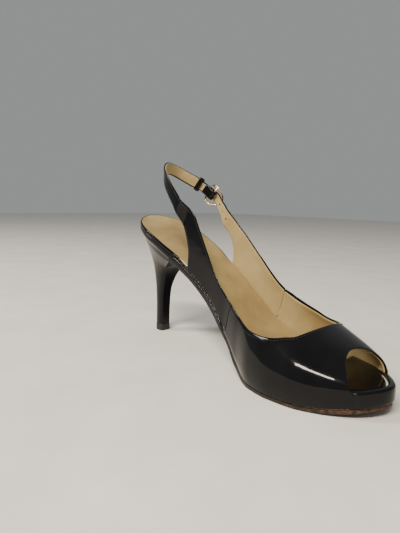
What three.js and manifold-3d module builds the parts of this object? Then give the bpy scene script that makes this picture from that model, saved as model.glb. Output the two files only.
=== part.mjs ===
// A peep-toe slingback pump on a covered stiletto heel, left foot.
// Millimetres. +X runs from the back of the seat to the toe, +Y is the outer (lateral) side, +Z is up.
import * as THREE from 'three';
import Module from 'manifold-3d';
import { mergeVertices } from 'three/addons/utils/BufferGeometryUtils.js';

// Overall sizes.
const LENGTH = 223;
const BALL_WIDTH = 84;
const SEAT_HEIGHT = 100.4;
const PLATFORM_HEIGHT = 12;

// The sizes that the shape tables below are drawn at.
const DRAWN = { length: 223, width: 84, seat: 100.4, platform: 12 };

// Thicknesses and clearances.
const GAP = 0.3;
const LEATHER = 1.0;
const LINING = 0.6;
const SOCK = 1.0;
const FOAM = 1.0;
const BOARD = 2.2;
const BACKPART = 1.8;
const OUTSOLE = 2.2;
const RAND = 0.7;
const HEEL_COVER = 0.8;
const TIP_HEIGHT = 5.5;
const RAND_HEIGHT = 6.8;
const SKIN_OUT = 0.9;
const EDGE_SHOW = 1.0;
const WELT_LIP = 3.0;

// Sling strap, buckle and keeper.
const STRAP_ROOT_WIDTH = 13;
const STRAP_WIDTH = 10;
const BUCKLE_STRAP_WIDTH = 7.7;
const JOINT_GAP = 0.5;
const LAYER_GAP = 0.45;
const RING_ROOM = 4.45;
const RING_RADIUS = BUCKLE_STRAP_WIDTH / 2 + RING_ROOM;
const RING_WIRE = 0.9;
const RING_RISE = LEATHER + LINING + 4.0;
const BAR_RADIUS = 0.8;
const CHAPE = 0.9;
const CHAPE_REACH = 9.5;
const SLOT_WIDTH = 2.8;
const PRONG_RADIUS = 0.6;
const PRONG_SWEEP = [[0.6, 1.2], [1.3, 2.3], [2.1, 3.9], [3.4, 5.6],
  [RING_RADIUS - 2.7, RING_RISE + 1.2], [RING_RADIUS - 0.3, RING_RISE + 1.6], [RING_RADIUS + 1.1, RING_RISE + 1.5]];
const HOLE_RADIUS = 1.0;
const USED_HOLE_RADIUS = 1.5;
const HOLE_PITCH = 9;
const HOLES_FREE = 3;
const TAIL_LENGTH = 27;
const KEEPER_PLACE = 15.5;
const KEEPER_WIDTH = 4;
const KEEPER_WALL = 0.9;
const KEEPER_CLEARANCE = 0.75;

// Fasteners and the heel's steel.
const NAIL = { radius: 0.9, head: 2.0, headHeight: 0.6, length: 14 };
const SCREW = { radius: 1.8, head: 3.4, headHeight: 0.9, length: 18 };
const RIVET = { radius: 1.2, head: 2.2, headHeight: 0.8, length: 3.0, dome: 0.3 };
const NAIL_PLACES = [[14, 0], [22, 13], [22, -13], [38, 14], [38, -14]];
const SCREW_PLACE = [30, 0];
const RIVET_PLACES = [[66, 0], [94, 0]];
const SHANK = { start: 24, end: 106, width: 11, thickness: 1.4 };
const TUBE = { radius: 2.4, bore: 1.7, top: 52 };
const PIN = { radius: 1.5, bottom: 2.4, top: 18 };
const FIT = 0.1;

// Stations along the shoe.
const QUARTER_BACK = 72;
const SEAM_LOW = 110;
const BREAST = 53;
const CORE_BACK = 126;
const SOCK_END = 178;

const FRONT = new THREE.Vector3(1, 0, 0);
const SIDE = new THREE.Vector3(0, 1, 0);
const UP = new THREE.Vector3(0, 0, 1);
const { clamp, lerp, smoothstep } = THREE.MathUtils;

const wasm = await Module();
wasm.setup();

// ---------------------------------------------------------------- shape tables
const along = (x) => x * LENGTH / DRAWN.length;
const across = (y) => y * BALL_WIDTH / DRAWN.width;
function high(z) {
  if (z < DRAWN.platform) return z * PLATFORM_HEIGHT / DRAWN.platform;
  const stretch = (SEAT_HEIGHT - PLATFORM_HEIGHT) / (DRAWN.seat - DRAWN.platform);
  return PLATFORM_HEIGHT + (z - DRAWN.platform) * stretch;
}

// A smooth function through points that never overshoots them.
function monotone(points) {
  const slopes = points.slice(1).map(([x, y], i) => (y - points[i][1]) / (x - points[i][0]));
  const bends = points.map((point, i) => {
    if (i === 0) return slopes[0];
    if (i === points.length - 1) return slopes[i - 1];
    const before = slopes[i - 1];
    const after = slopes[i];
    return before * after <= 0 ? 0 : 2 * before * after / (before + after);
  });
  return (x) => {
    let i = 0;
    while (i < points.length - 2 && x > points[i + 1][0]) i += 1;
    const width = points[i + 1][0] - points[i][0];
    const t = clamp((x - points[i][0]) / width, 0, 1);
    const ease = t * t * (3 - 2 * t);
    const lean = width * (t * (1 - t) ** 2 * bends[i] - t * t * (1 - t) * bends[i + 1]);
    return lerp(points[i][1], points[i + 1][1], ease) + lean;
  };
}

// Stations crowd together at both ends, so the round back and toe come out round.
const stationX = (t) => LENGTH * (1 - Math.cos(Math.PI * t)) / 2;
const stationOf = (x) => Math.acos(clamp(1 - 2 * x / LENGTH, -1, 1)) / Math.PI;

const edge = (points) => monotone(points.map(([x, y]) => [stationOf(along(x)), across(y)]));
const medialEdge = edge([[0, 0], [1, -6], [3, -10.5], [7, -16.5], [15, -23], [30, -26.6], [45, -26.2], [65, -23],
  [90, -20.5], [110, -22.5], [130, -30], [150, -39.5], [165, -42], [180, -41], [195, -36], [208, -28.5],
  [215, -22.5], [220, -15.5], [223, -6]]);
const lateralEdge = edge([[0, 0], [1, 6], [3, 10.5], [7, 16.5], [15, 23], [30, 26.6], [45, 26.8], [65, 26.5],
  [90, 28], [110, 31.5], [130, 38], [150, 42], [165, 41.5], [180, 37.5], [195, 30], [208, 19],
  [215, 10.3], [220, 2.8], [223, -6]]);
const footbed = monotone([[0, 100.4], [25, 90.5], [50, 78.5], [75, 63.5], [100, 42.5], [120, 23.5], [135, 15],
  [150, 12.3], [180, 12], [200, 13.5], [223, 17]].map(([x, z]) => [along(x), high(z)]));

const STACK = SOCK + FOAM + BOARD + BACKPART + 3 * GAP;
const WAIST = STACK + GAP + OUTSOLE;
const underside = monotone([
  ...[50, 62, 75, 88, 100, 112].map((x) => [along(x), footbed(along(x)) - WAIST]),
  ...[[121, 14.5], [132, 5.5], [145, 0.6], [152, 0], [185, 0], [205, 1.8], [223, 5.5]]
    .map(([x, z]) => [along(x), high(z)])]);
const ridgeHeight = monotone([[60, 200], [75, 180], [85, 158], [95, 135], [105, 114], [115, 98], [125, 82],
  [140, 63], [155, 52], [172, 42], [185, 36], [197, 31], [210, 25], [223, 19]]
  .map(([x, z]) => [along(x), high(z)]));
const ridgeSide = monotone([[60, 2], [100, 2], [172, -3], [223, -5]].map(([x, y]) => [along(x), across(y)]));

// A point of the footbed's outline, moved outwards by `out`. side is -1 medial or +1 lateral.
function outline(side, t, out) {
  const halfWidth = side < 0 ? medialEdge : lateralEdge;
  const step = 1e-3;
  const back = Math.max(t - step, 0);
  const fore = Math.min(t + step, 1);
  const dx = stationX(fore) - stationX(back);
  const dy = halfWidth(fore) - halfWidth(back);
  const size = Math.hypot(dx, dy);
  return new THREE.Vector2(stationX(t) - side * out * dy / size, halfWidth(t) + side * out * dx / size);
}

// ---------------------------------------------------------------- solids from three.js geometries
function bare(geometry) {
  geometry.deleteAttribute('normal');
  geometry.deleteAttribute('uv');
  return mergeVertices(geometry, 1e-6);
}

function volume(geometry) {
  const p = geometry.attributes.position;
  const corner = [0, 1, 2].map(() => new THREE.Vector3());
  let sum = 0;
  for (let i = 0; i < geometry.index.count; i += 3) {
    corner.forEach((c, k) => c.fromBufferAttribute(p, geometry.index.getX(i + k)));
    sum += corner[0].dot(corner[1].cross(corner[2]));
  }
  return sum / 6;
}

// Moves every vertex of a closed geometry to place(vertex) and keeps its faces pointing out.
function mold(geometry, place) {
  const solid = bare(geometry);
  const position = solid.attributes.position;
  const vertex = new THREE.Vector3();
  for (let i = 0; i < position.count; i += 1) {
    const moved = place(vertex.fromBufferAttribute(position, i));
    position.setXYZ(i, moved.x, moved.y, moved.z);
  }
  if (volume(solid) < 0) {
    const order = solid.index.array;
    for (let i = 0; i < order.length; i += 3) [order[i], order[i + 1]] = [order[i + 1], order[i]];
  }
  return solid;
}

// A box whose three coordinates, each 0 to 1, are bent to place(u, v, w).
function bent(columns, rows, layers, place) {
  const box = new THREE.BoxGeometry(1, 1, 1, columns, rows, layers);
  return mold(box, (p) => place(p.x + 0.5, p.y + 0.5, p.z + 0.5));
}

function toManifold(geometry) {
  const solid = bare(geometry.clone());
  const mesh = new wasm.Mesh({
    numProp: 3,
    vertProperties: new Float32Array(solid.attributes.position.array),
    triVerts: new Uint32Array(solid.index.array),
  });
  mesh.merge();
  return new wasm.Manifold(mesh);
}

function fromManifold(solid) {
  const mesh = solid.getMesh();
  const geometry = new THREE.BufferGeometry();
  geometry.setAttribute('position', new THREE.BufferAttribute(mesh.vertProperties, 3));
  geometry.setIndex(new THREE.BufferAttribute(mesh.triVerts, 1));
  return geometry;
}

const cut = (geometry, ...tools) => fromManifold(tools.reduce(
  (solid, tool) => solid.subtract(toManifold(tool)), toManifold(geometry)));
const join = (geometry, ...others) => fromManifold(others.reduce(
  (solid, other) => solid.add(toManifold(other)), toManifold(geometry)));

const cylinder = (radius, from, to, sides = 16) => {
  const axis = to.clone().sub(from);
  const turn = new THREE.Quaternion().setFromUnitVectors(SIDE, axis.clone().normalize());
  const middle = from.clone().add(to).multiplyScalar(0.5);
  return mold(new THREE.CylinderGeometry(radius, radius, axis.length(), sides),
    (p) => p.applyQuaternion(turn).add(middle));
};

// ---------------------------------------------------------------- the upper's surface
const SECTION_POWER = 2.2;
const WALL_ANGLE = 0.8;
const ANGLE_MM = 50;

// A point on the outside of the upper: x is the station, angle runs from -1 (medial edge)
// over 0 (ridge) to 1 (lateral edge). The wall is upright beside the platform, then domes over.
function onUpper(x, angle) {
  const side = angle < 0 ? -1 : 1;
  const reach = Math.min(Math.abs(angle), 1);
  const base = outline(side, stationOf(x), SKIN_OUT);
  const low = underside(x) + OUTSOLE + GAP;
  if (reach > WALL_ANGLE) {
    const drop = (reach - WALL_ANGLE) / (1 - WALL_ANGLE);
    return new THREE.Vector3(base.x, base.y, lerp(footbed(x), low, drop));
  }
  const theta = (1 - reach / WALL_ANGLE) * Math.PI / 2;
  const size = (Math.cos(theta) ** SECTION_POWER + Math.sin(theta) ** SECTION_POWER) ** (1 / SECTION_POWER);
  const out = Math.cos(theta) / size;
  const rise = Math.sin(theta) / size;
  return new THREE.Vector3(lerp(x, base.x, out), lerp(ridgeSide(x), base.y, out),
    lerp(footbed(x), ridgeHeight(x), rise));
}

// The same point, `depth` below the outside face.
function inUpper(x, angle, depth) {
  const step = 0.02;
  const point = onUpper(x, angle);
  const lengthwise = onUpper(x + step, angle).sub(onUpper(x - step, angle));
  const crosswise = onUpper(x, angle + step).sub(onUpper(x, angle - step));
  const normal = crosswise.cross(lengthwise).normalize();
  return point.addScaledVector(normal, depth);
}

// The angle at which the upper's surface reaches height z.
function angleAt(side, x, z) {
  const low = underside(x) + OUTSOLE + GAP;
  const bed = footbed(x);
  if (z < bed) return side * lerp(WALL_ANGLE, 1, clamp((bed - z) / (bed - low), 0, 1));
  const rise = Math.min((z - bed) / (ridgeHeight(x) - bed), 1);
  const out = (1 - rise ** SECTION_POWER) ** (1 / SECTION_POWER);
  return side * WALL_ANGLE * (1 - Math.atan2(rise, out) * 2 / Math.PI);
}

const wallPoint = (side, [x, z]) => [along(x), angleAt(side, along(x), high(z))];
const rimPoint = (side, x, drop) => [x, angleAt(side, x, footbed(x) - drop)];

// A smooth run through [station, angle] points, read at 0 to 1.
function run(points) {
  const curve = new THREE.SplineCurve(points.map(([x, angle]) => new THREE.Vector2(x, angle * ANGLE_MM)));
  curve.arcLengthDivisions = 120;
  return (u) => {
    const p = curve.getPointAt(clamp(u, 0, 1));
    return [p.x, p.y / ANGLE_MM];
  };
}

// Several runs end to end; breaks are the places, 0 to 1, where one ends and the next starts.
function runs(parts, breaks) {
  const ends = [0, ...breaks, 1];
  return (u) => {
    let i = 0;
    while (i < parts.length - 1 && u > ends[i + 1]) i += 1;
    return parts[i]((u - ends[i]) / (ends[i + 1] - ends[i]));
  };
}

// A leather piece between a lower and an upper edge on the upper's surface.
function panel({ lower, upper, columns, rows, depth, thickness, inset = 0 }) {
  return bent(columns, rows, 1, (u, v, w) => {
    const [x0, a0] = lower(u);
    const [x1, a1] = upper(u);
    const height = Math.hypot(x1 - x0, (a1 - a0) * ANGLE_MM);
    const share = v * (1 - inset / height);
    return inUpper(lerp(x0, x1, share), lerp(a0, a1, share), depth + w * thickness);
  });
}

// ---------------------------------------------------------------- vamp
const TOPLINE = {
  medial: [[122, 45.5], [132.6, 39.8], [146.9, 35.4], [155.5, 34.8], [163.5, 35.2], [169.6, 36.4]],
  lateral: [[122, 49.8], [136.7, 42.8], [148, 38.4], [155.5, 35.6], [163.5, 34.8], [170.6, 35.6]],
};
const VAMP_BREAKS = [5 / 14, 9 / 14];
const PEEP = {
  medial: [[214.3, 5.8], [211.4, 14.6], [206.6, 22.2], [201.6, 27.4]],
  lateral: [[213.2, 5.6], [208.6, 16.4], [204.9, 22.6], [200.9, 27.2]],
  top: 197.6,
};

const scaled = (points) => points.map(([x, angle]) => [along(x), angle]);
const toplineEnd = (side) => wallPoint(side, (side < 0 ? TOPLINE.medial : TOPLINE.lateral).at(-1));
const vampTop = runs([
  run(TOPLINE.medial.map((p) => wallPoint(-1, p))),
  run([toplineEnd(-1), ...scaled([[173.6, -0.3], [176.5, -0.15], [177.2, 0], [176.3, 0.16], [174.2, 0.3]]),
    toplineEnd(1)]),
  run(TOPLINE.lateral.map((p) => wallPoint(1, p)).reverse()),
], VAMP_BREAKS);
const peepEdge = (name, side) => PEEP[name].map((p, i) => (i ? wallPoint(side, p) : [along(p[0]), side]));
const peepRun = [...peepEdge('medial', -1), [along(PEEP.top), 0], ...peepEdge('lateral', 1).reverse()];
const sideRun = (side) => scaled([[SEAM_LOW, side], [130, side], [150, side], [172, side], [194, side]]);
const vampLow = runs([
  run([...sideRun(-1), peepRun[0]]),
  run(peepRun),
  run([...sideRun(1), peepRun.at(-1)].reverse()),
], VAMP_BREAKS);

const LINING_DROP = SOCK + FOAM + GAP;
const SEAM_SHIFT = 4;
const liningSide = (side) => [SEAM_LOW + SEAM_SHIFT, 130, 150, 172, 190, 203, 209]
  .map((x) => rimPoint(side, along(x), LINING_DROP));
const peepLining = peepRun.slice(1, -1).map(([x, angle]) => [x - 1.2, angle]);
const liningLow = runs([
  run(liningSide(-1)),
  run([liningSide(-1).at(-1), ...peepLining, liningSide(1).at(-1)]),
  run(liningSide(1).reverse()),
], VAMP_BREAKS);

const vamp = () => panel({ lower: vampLow, upper: vampTop, columns: 42, rows: 6, depth: 0, thickness: LEATHER });
const vampLining = () => panel({
  lower: liningLow, upper: vampTop, columns: 42, rows: 6, depth: LEATHER + 2 * GAP, thickness: LINING, inset: EDGE_SHOW,
});

// ---------------------------------------------------------------- quarters, which run up into the sling
const STRAP_JOINT = { medial: [73, 98.5], lateral: [66.5, 98] };
const STRAP_AIM = { medial: [-0.62, 0.785], lateral: [-0.66, 0.751] };
const sideName = (side) => (side < 0 ? 'medial' : 'lateral');
const QUARTER_FRONT = {
  medial: [[122, 45.5], [114, 50], [106.5, 56.3], [100.5, 63.6], [96.1, 70.2]],
  lateral: [[122, 49.8], [116.6, 54.6], [110.1, 61.8], [104, 69], [98.5, 75]],
};
const STRAP_FRONT = {
  medial: [[96.1, 70.2], [89.6, 81], [84, 91.2]],
  lateral: [[98.5, 75], [88.3, 86], [79.5, 94.3]],
};
const STRAP_REAR = {
  medial: [[73.2, 74.5], [72.2, 81.5], [70.2, 88.6]],
  lateral: [[73, 72.4], [71.6, 80.5], [68, 87.5]],
};
const QUARTER_BREAKS = [5 / 11];
const RIM_DROP = 1.0;

// The two edges of the strap where it leaves the quarter, beside the joint's centre.
function strapEdge(side, way) {
  const [x, z] = STRAP_JOINT[sideName(side)];
  const [aimX, aimZ] = STRAP_AIM[sideName(side)];
  const half = way * STRAP_ROOT_WIDTH / 2;
  return [along(x) + half * aimZ, angleAt(side, along(x) + half * aimZ, high(z) - half * aimX)];
}

// Where the quarter's front seam stands at the angle, or at the rim.
function seamStation(side, angle) {
  const [x0, a0] = [along(SEAM_LOW), side];
  const [x1, a1] = wallPoint(side, QUARTER_FRONT[sideName(side)][0]);
  return x0 + (x1 - x0) * (angle - a0) / (a1 - a0);
}

const SEAM_GAP = 1.5 * GAP;
function quarterEdges(side, drop, foot) {
  const name = sideName(side);
  const top = wallPoint(side, QUARTER_FRONT[name][0]);
  const rear = rimPoint(side, along(QUARTER_BACK), drop);
  const rimRun = [103, 97, 90, 83, 77].map((x) => rimPoint(side, along(x), drop));
  return {
    lower: runs([run([[foot[0] - SEAM_GAP, foot[1]], ...rimRun, rear]),
      run([rear, ...STRAP_REAR[name].map((p) => wallPoint(side, p)), strapEdge(side, -1)])], QUARTER_BREAKS),
    upper: runs([run([[top[0] - SEAM_GAP, top[1]], ...QUARTER_FRONT[name].slice(1).map((p) => wallPoint(side, p))]),
      run([...STRAP_FRONT[name].map((p) => wallPoint(side, p)), strapEdge(side, 1)])], QUARTER_BREAKS),
  };
}

function strapJoint(side) {
  const [x, z] = STRAP_JOINT[sideName(side)];
  return inUpper(along(x), angleAt(side, along(x), high(z)), LEATHER - 0.05);
}

// The round end of the strap turns inside this round cut.
function jointCutter(side) {
  const centre = strapJoint(side);
  const reach = SIDE.clone().multiplyScalar(8);
  return cylinder(STRAP_ROOT_WIDTH / 2 + JOINT_GAP, centre.clone().sub(reach), centre.clone().add(reach), 40);
}

function quarter(side) {
  const [, angle] = rimPoint(side, along(SEAM_LOW), RIM_DROP);
  const edges = quarterEdges(side, RIM_DROP, [seamStation(side, angle), angle]);
  return cut(panel({ ...edges, columns: 22, rows: 4, depth: 0, thickness: LEATHER }), jointCutter(side));
}

function quarterLining(side) {
  const edges = quarterEdges(side, LINING_DROP, liningSide(side)[0]);
  return cut(panel({
    ...edges, columns: 22, rows: 3, depth: LEATHER + GAP, thickness: LINING, inset: EDGE_SHOW,
  }), jointCutter(side));
}

// ---------------------------------------------------------------- layers under the foot
const STATIONS = 42;

// A plate between two heights that follow x, inside the outline moved by out(x).
function plate(from, to, out, top, bottom) {
  const start = stationOf(from);
  const end = stationOf(to);
  const columns = Math.ceil((end - start) * STATIONS);
  return bent(columns, 2, 1, (u, v, w) => {
    const t = lerp(start, end, u);
    const move = out(stationX(t));
    const left = outline(-1, t, move);
    const right = outline(1, t, move);
    const x = lerp(left.x, right.x, v);
    return new THREE.Vector3(x, lerp(left.y, right.y, v), w ? top(x) : bottom(x));
  });
}

const steady = (out) => () => out;
const below = (surface, drop) => (x) => surface(x) - drop;
const above = (surface, rise) => (x) => surface(x) + rise;
const END = 0.15;
const TOE = LENGTH - END;
const LINED = SKIN_OUT - LEATHER - LINING - 3.5 * GAP;
const sockEdge = (x) => lerp(-0.45, LINED, smoothstep(x, along(55), along(68)))
  - (WELT_LIP - 0.7) * smoothstep(x, along(204), along(211));
const foamEdge = (x) => lerp(-0.45, LINED, smoothstep(x, along(55), along(68)));

const sockLining = () => plate(END, along(SOCK_END), sockEdge, footbed, below(footbed, SOCK));
const toeSock = () => plate(along(SOCK_END) + GAP, TOE, sockEdge, footbed, below(footbed, SOCK));
const foamLayer = () => plate(END, TOE, foamEdge, below(footbed, SOCK + GAP), below(footbed, SOCK + GAP + FOAM));

const BOARD_TOP = SOCK + FOAM + 2 * GAP;
const BOARD_OUT = SKIN_OUT - LEATHER - 2 * GAP - FIT;
const insoleBoard = () => plate(END, TOE, steady(BOARD_OUT), below(footbed, BOARD_TOP), below(footbed, BOARD_TOP + BOARD));
const BACKPART_TOP = BOARD_TOP + BOARD + GAP;
const BACKPART_END = 108.5;
const backpartBoard = () => plate(END, along(BACKPART_END), steady(BOARD_OUT), below(footbed, BACKPART_TOP),
  below(footbed, BACKPART_TOP + BACKPART));

function shank(extra) {
  const start = along(SHANK.start) - extra;
  const end = along(SHANK.end) + extra;
  const half = SHANK.width / 2 + extra;
  const lift = (BACKPART - SHANK.thickness) / 2;
  return bent(16, 1, 1, (u, v, w) => {
    const x = lerp(start, end, u);
    const under = BACKPART_TOP + BACKPART - lift;
    const low = extra ? footbed(x) - under - 1 : footbed(x) - under;
    return new THREE.Vector3(x, lerp(-half, half, v), w ? low + SHANK.thickness + (extra ? 2 : 0) : low);
  });
}

const platformCore = () => plate(along(CORE_BACK), TOE, steady(BOARD_OUT - FIT),
  below(footbed, BOARD_TOP + BOARD + GAP), above(underside, OUTSOLE + GAP));
const outsole = () => plate(along(BREAST) + 0.8, TOE, steady(-0.5), above(underside, OUTSOLE), underside);

// The patent band round the seat and the waist. Its top drops under the quarters.
function seatRand() {
  const end = stationOf(along(SEAM_LOW) - 2 * GAP);
  return bent(60, 1, 1, (u, v, w) => {
    const way = lerp(-end, end, u);
    const p = outline(way < 0 ? -1 : 1, Math.abs(way), SKIN_OUT - GAP - w * RAND);
    const drop = (RIM_DROP + 2 * GAP) * smoothstep(stationX(Math.abs(way)), along(58), along(QUARTER_BACK - 1));
    return new THREE.Vector3(p.x, p.y, footbed(p.x) - (v ? drop : RAND_HEIGHT));
  });
}

// The patent piece round the front of the platform, with a lip over its top edge.
function platformFront() {
  const face = (h, out) => ({ h, out });
  const profile = [face(0, SKIN_OUT), face(0.86, SKIN_OUT), face(1, SKIN_OUT - 1.3), face(1, SKIN_OUT - WELT_LIP - 1),
    face(0.91, SKIN_OUT - WELT_LIP - 1), face(0.91, SKIN_OUT - LEATHER), face(0, SKIN_OUT - LEATHER)];
  const points = profile.map((p, i) => new THREE.Vector2(2 + Math.cos(i * 2 * Math.PI / profile.length),
    Math.sin(i * 2 * Math.PI / profile.length)));
  const sweep = new THREE.Shape(points);
  const band = new THREE.ExtrudeGeometry(sweep, { depth: 1, steps: 26, bevelEnabled: false });
  return mold(band, (p) => {
    const i = points.findIndex((q) => Math.hypot(q.x - p.x, q.y - p.y) < 1e-3);
    const { h, out } = profile[i];
    const medial = 1 - stationOf(along(215.4 - 3 * h));
    const lateral = 1 - stationOf(along(214.6 - 3.2 * h));
    const way = lerp(-medial, lateral, p.z);
    const q = outline(way < 0 ? -1 : 1, 1 - Math.abs(way), out);
    const low = underside(q.x) + OUTSOLE + GAP;
    return new THREE.Vector3(q.x, q.y, lerp(low, footbed(q.x), h));
  });
}

// ---------------------------------------------------------------- heel
// Sections from the seat down to the tip: back and front points [x, z] and half width.
const HEEL = [
  { back: [0.6, 93.2], front: [53, 69.7], half: 26.2, square: 1 },
  { back: [2.6, 86], front: [47, 65.5], half: 21.2, square: 0.7 },
  { back: [4.4, 78], front: [39, 61.5], half: 16.6, square: 0.4 },
  { back: [6.3, 68], front: [32, 57.5], half: 12.4, square: 0.2 },
  { back: [8, 58], front: [27, 51.5], half: 9.2, square: 0.1 },
  { back: [9, 47], front: [23.8, 44.5], half: 7.2, square: 0 },
  { back: [9.6, 36], front: [21.3, 36], half: 5.8, square: 0 },
  { back: [9.8, 20], front: [20.2, 20], half: 5.1, square: 0 },
  { back: [9.6, 5.8], front: [20, 5.8], half: 5.0, square: 0 },
];
const HEEL_SIDES = 22;

// Half of a D: from the middle of the back, round the side, to the middle of the breast.
const dLength = monotone([[0, 0], [0.1, 0.02], [0.2, 0.09], [0.3, 0.22], [0.4, 0.42], [0.5, 0.64], [0.6, 0.83],
  [0.7, 0.95], [0.78, 1], [1, 1]]);
const dWidth = (square) => monotone([[0, 0], [0.1, 0.33], [0.2, 0.6], [0.3, 0.83], [0.4, 0.96], [0.5, 1],
  [0.6, 0.97], [0.7, lerp(0.84, 0.96, square)], [0.78, lerp(0.68, 0.95, square)], [1, 0]]);

function heelPoint(row, around, inset) {
  const level = clamp(row, 0, HEEL.length - 1);
  const i = Math.min(Math.floor(level), HEEL.length - 2);
  const t = level - i;
  const mix = (pick) => lerp(pick(HEEL[i]), pick(HEEL[i + 1]), t);
  const side = around < 0 ? -1 : 1;
  const a = Math.abs(around);
  const backX = along(mix((s) => s.back[0])) + inset;
  const frontX = along(mix((s) => s.front[0])) - inset;
  const share = dLength(a);
  const x = lerp(backX, frontX, share);
  const half = across(mix((s) => s.half)) - inset;
  const y = side * half * dWidth(mix((s) => s.square))(a);
  const slope = lerp(high(mix((s) => s.back[1])), high(mix((s) => s.front[1])), share);
  const z = row <= 0 ? footbed(x) - STACK - GAP : slope;
  return new THREE.Vector3(x, y, z);
}

const CORE_INSET = HEEL_COVER + 2 * GAP;
const heelRows = HEEL.length - 1;
function heelCore() {
  const drum = new THREE.CylinderGeometry(1, 1, heelRows, HEEL_SIDES, heelRows);
  return mold(drum, (p) => {
    const row = heelRows / 2 - p.y;
    const rim = Math.hypot(p.x, p.z) > 0.5;
    if (rim) return heelPoint(row, Math.atan2(p.x, p.z) / Math.PI, CORE_INSET);
    const back = heelPoint(row, 0, CORE_INSET);
    const front = heelPoint(row, 1, CORE_INSET);
    const middle = back.add(front).multiplyScalar(0.5);
    if (row < 0.5) middle.z = footbed(middle.x) - STACK - GAP;
    return middle;
  });
}

function heelCover() {
  const outer = Array.from({ length: heelRows + 1 }, (_, i) => new THREE.Vector2(2, i));
  const inner = outer.map((p) => new THREE.Vector2(1, p.y)).reverse();
  const ring = [...outer, ...inner, outer[0]];
  return mold(new THREE.LatheGeometry(ring, HEEL_SIDES), (p) => {
    const inset = Math.hypot(p.x, p.z) > 1.5 ? 0 : HEEL_COVER;
    return heelPoint(p.y, Math.atan2(p.x, p.z) / Math.PI, inset);
  });
}

function heelTip() {
  const slab = new THREE.CylinderGeometry(1, 1, 1, HEEL_SIDES, 1);
  const rowAtTip = heelRows;
  return mold(slab, (p) => {
    const rim = Math.hypot(p.x, p.z) > 0.5;
    const point = heelPoint(rowAtTip, rim ? Math.atan2(p.x, p.z) / Math.PI : 0, -0.2);
    if (!rim) point.copy(heelPoint(rowAtTip, 0, 0).add(heelPoint(rowAtTip, 1, 0)).multiplyScalar(0.5));
    point.z = p.y > 0 ? TIP_HEIGHT : 0;
    return point;
  });
}

const stemAt = (z) => {
  const low = HEEL.at(-1);
  const upper = HEEL[5];
  const middle = (s) => along((s.back[0] + s.front[0]) / 2);
  const share = (z - low.back[1]) / (upper.back[1] - low.back[1]);
  return new THREE.Vector3(lerp(middle(low), middle(upper), share), 0, z);
};
const TUBE_BOTTOM = HEEL.at(-1).back[1] + GAP;
const heelTube = () => cut(cylinder(TUBE.radius, stemAt(TUBE_BOTTOM), stemAt(TUBE.top)),
  cylinder(TUBE.bore, stemAt(TUBE_BOTTOM - 1), stemAt(TUBE.top + 1)));
const tipPin = (extra) => cylinder(PIN.radius + extra, stemAt(PIN.bottom - extra), stemAt(PIN.top), 16);

// ---------------------------------------------------------------- fasteners
// Driven along `axis`, with the head `drop` below the footbed. extra widens it into its hole.
function fastener(size, [x, y], drop, extra, axis = UP) {
  const place = new THREE.Vector3(along(x), across(y), footbed(along(x)) - drop);
  const [foot, neck, head] = [-size.length - extra, -size.headHeight - extra, extra * 12];
  const dome = size.dome ?? 0;
  const profile = [[0, foot], [size.radius + extra, foot + dome], [size.radius + extra, neck - dome],
    [size.head + extra, neck], [size.head + extra, head - dome], [0, head]].map(([r, h]) => new THREE.Vector2(r, h));
  const turn = new THREE.Quaternion().setFromUnitVectors(SIDE, axis);
  return mold(new THREE.LatheGeometry(profile, 12), (p) => p.applyQuaternion(turn).add(place));
}

function bedNormal(x) {
  const rise = (footbed(x + 1) - footbed(x - 1)) / 2;
  return new THREE.Vector3(-rise, 0, 1).normalize();
}

const SEAT_SINK = BOARD_TOP + 1.1;
const RIVET_SINK = BOARD_TOP + 0.2;
const HEEL_STRETCH = (SEAT_HEIGHT - PLATFORM_HEIGHT) / (DRAWN.seat - DRAWN.platform);
const heelNail = { ...NAIL, length: NAIL.length * HEEL_STRETCH };
const nailHoles = NAIL_PLACES.map((p) => fastener(heelNail, p, SEAT_SINK, FIT));
const rivet = (p, extra) => fastener(RIVET, p, RIVET_SINK, extra, bedNormal(along(p[0])));
const rivetHoles = RIVET_PLACES.map((p) => rivet(p, FIT));
const SCREW_SINK = SEAT_SINK + 0.4;
const screwHole = fastener(SCREW, SCREW_PLACE, SCREW_SINK, FIT);

// ---------------------------------------------------------------- the sling's loop
const SLING_POINTS = [[66.3, -24, 106.5], [59.5, -24.2, 114.5], [52, -23.2, 122], [43, -20.3, 130.2],
  [35.5, -15, 135.6], [29.6, -7, 138.8], [26.6, 1.5, 138], [26, 9, 135.6], [28, 16.8, 132], [32, 23, 128.2],
  [37.8, 26.8, 123.8]];
const BUCKLE_POINT = [44.5, 28.8, 118.3];
const AFTER_BUCKLE = [[51, 29.6, 112.2], [58.5, 29.2, 105.2]];
const spot = ([x, y, z]) => new THREE.Vector3(along(x), across(y), high(z));
const medialJoint = strapJoint(-1);
const lateralJoint = strapJoint(1);
const loop = new THREE.CatmullRomCurve3([medialJoint, ...SLING_POINTS.map(spot), spot(BUCKLE_POINT),
  ...AFTER_BUCKLE.map(spot), lateralJoint], false, 'centripetal');
loop.arcLengthDivisions = 600;
const loopLength = loop.getLength();

function nearestArc(point) {
  const steps = Array.from({ length: 1201 }, (_, i) => i / 1200);
  const near = (s) => loop.getPointAt(s).distanceTo(point);
  return steps.reduce((best, s) => (near(s) < near(best) ? s : best)) * loopLength;
}
const buckleArc = nearestArc(spot(BUCKLE_POINT));

// The strap's frame at arc length s: along it, outwards from it, and across it.
function loopFrame(s) {
  const inside = clamp(s / loopLength, 0, 1);
  const tangent = loop.getTangentAt(inside);
  const origin = loop.getPointAt(inside).addScaledVector(tangent, s - inside * loopLength);
  const outward = new THREE.Vector3(tangent.y, -tangent.x, 0).normalize().negate();
  const away = origin.clone().sub(new THREE.Vector3(along(52), 0, origin.z));
  if (outward.dot(away) < 0) outward.negate();
  return { origin, tangent, outward, wide: outward.clone().cross(tangent) };
}

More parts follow.
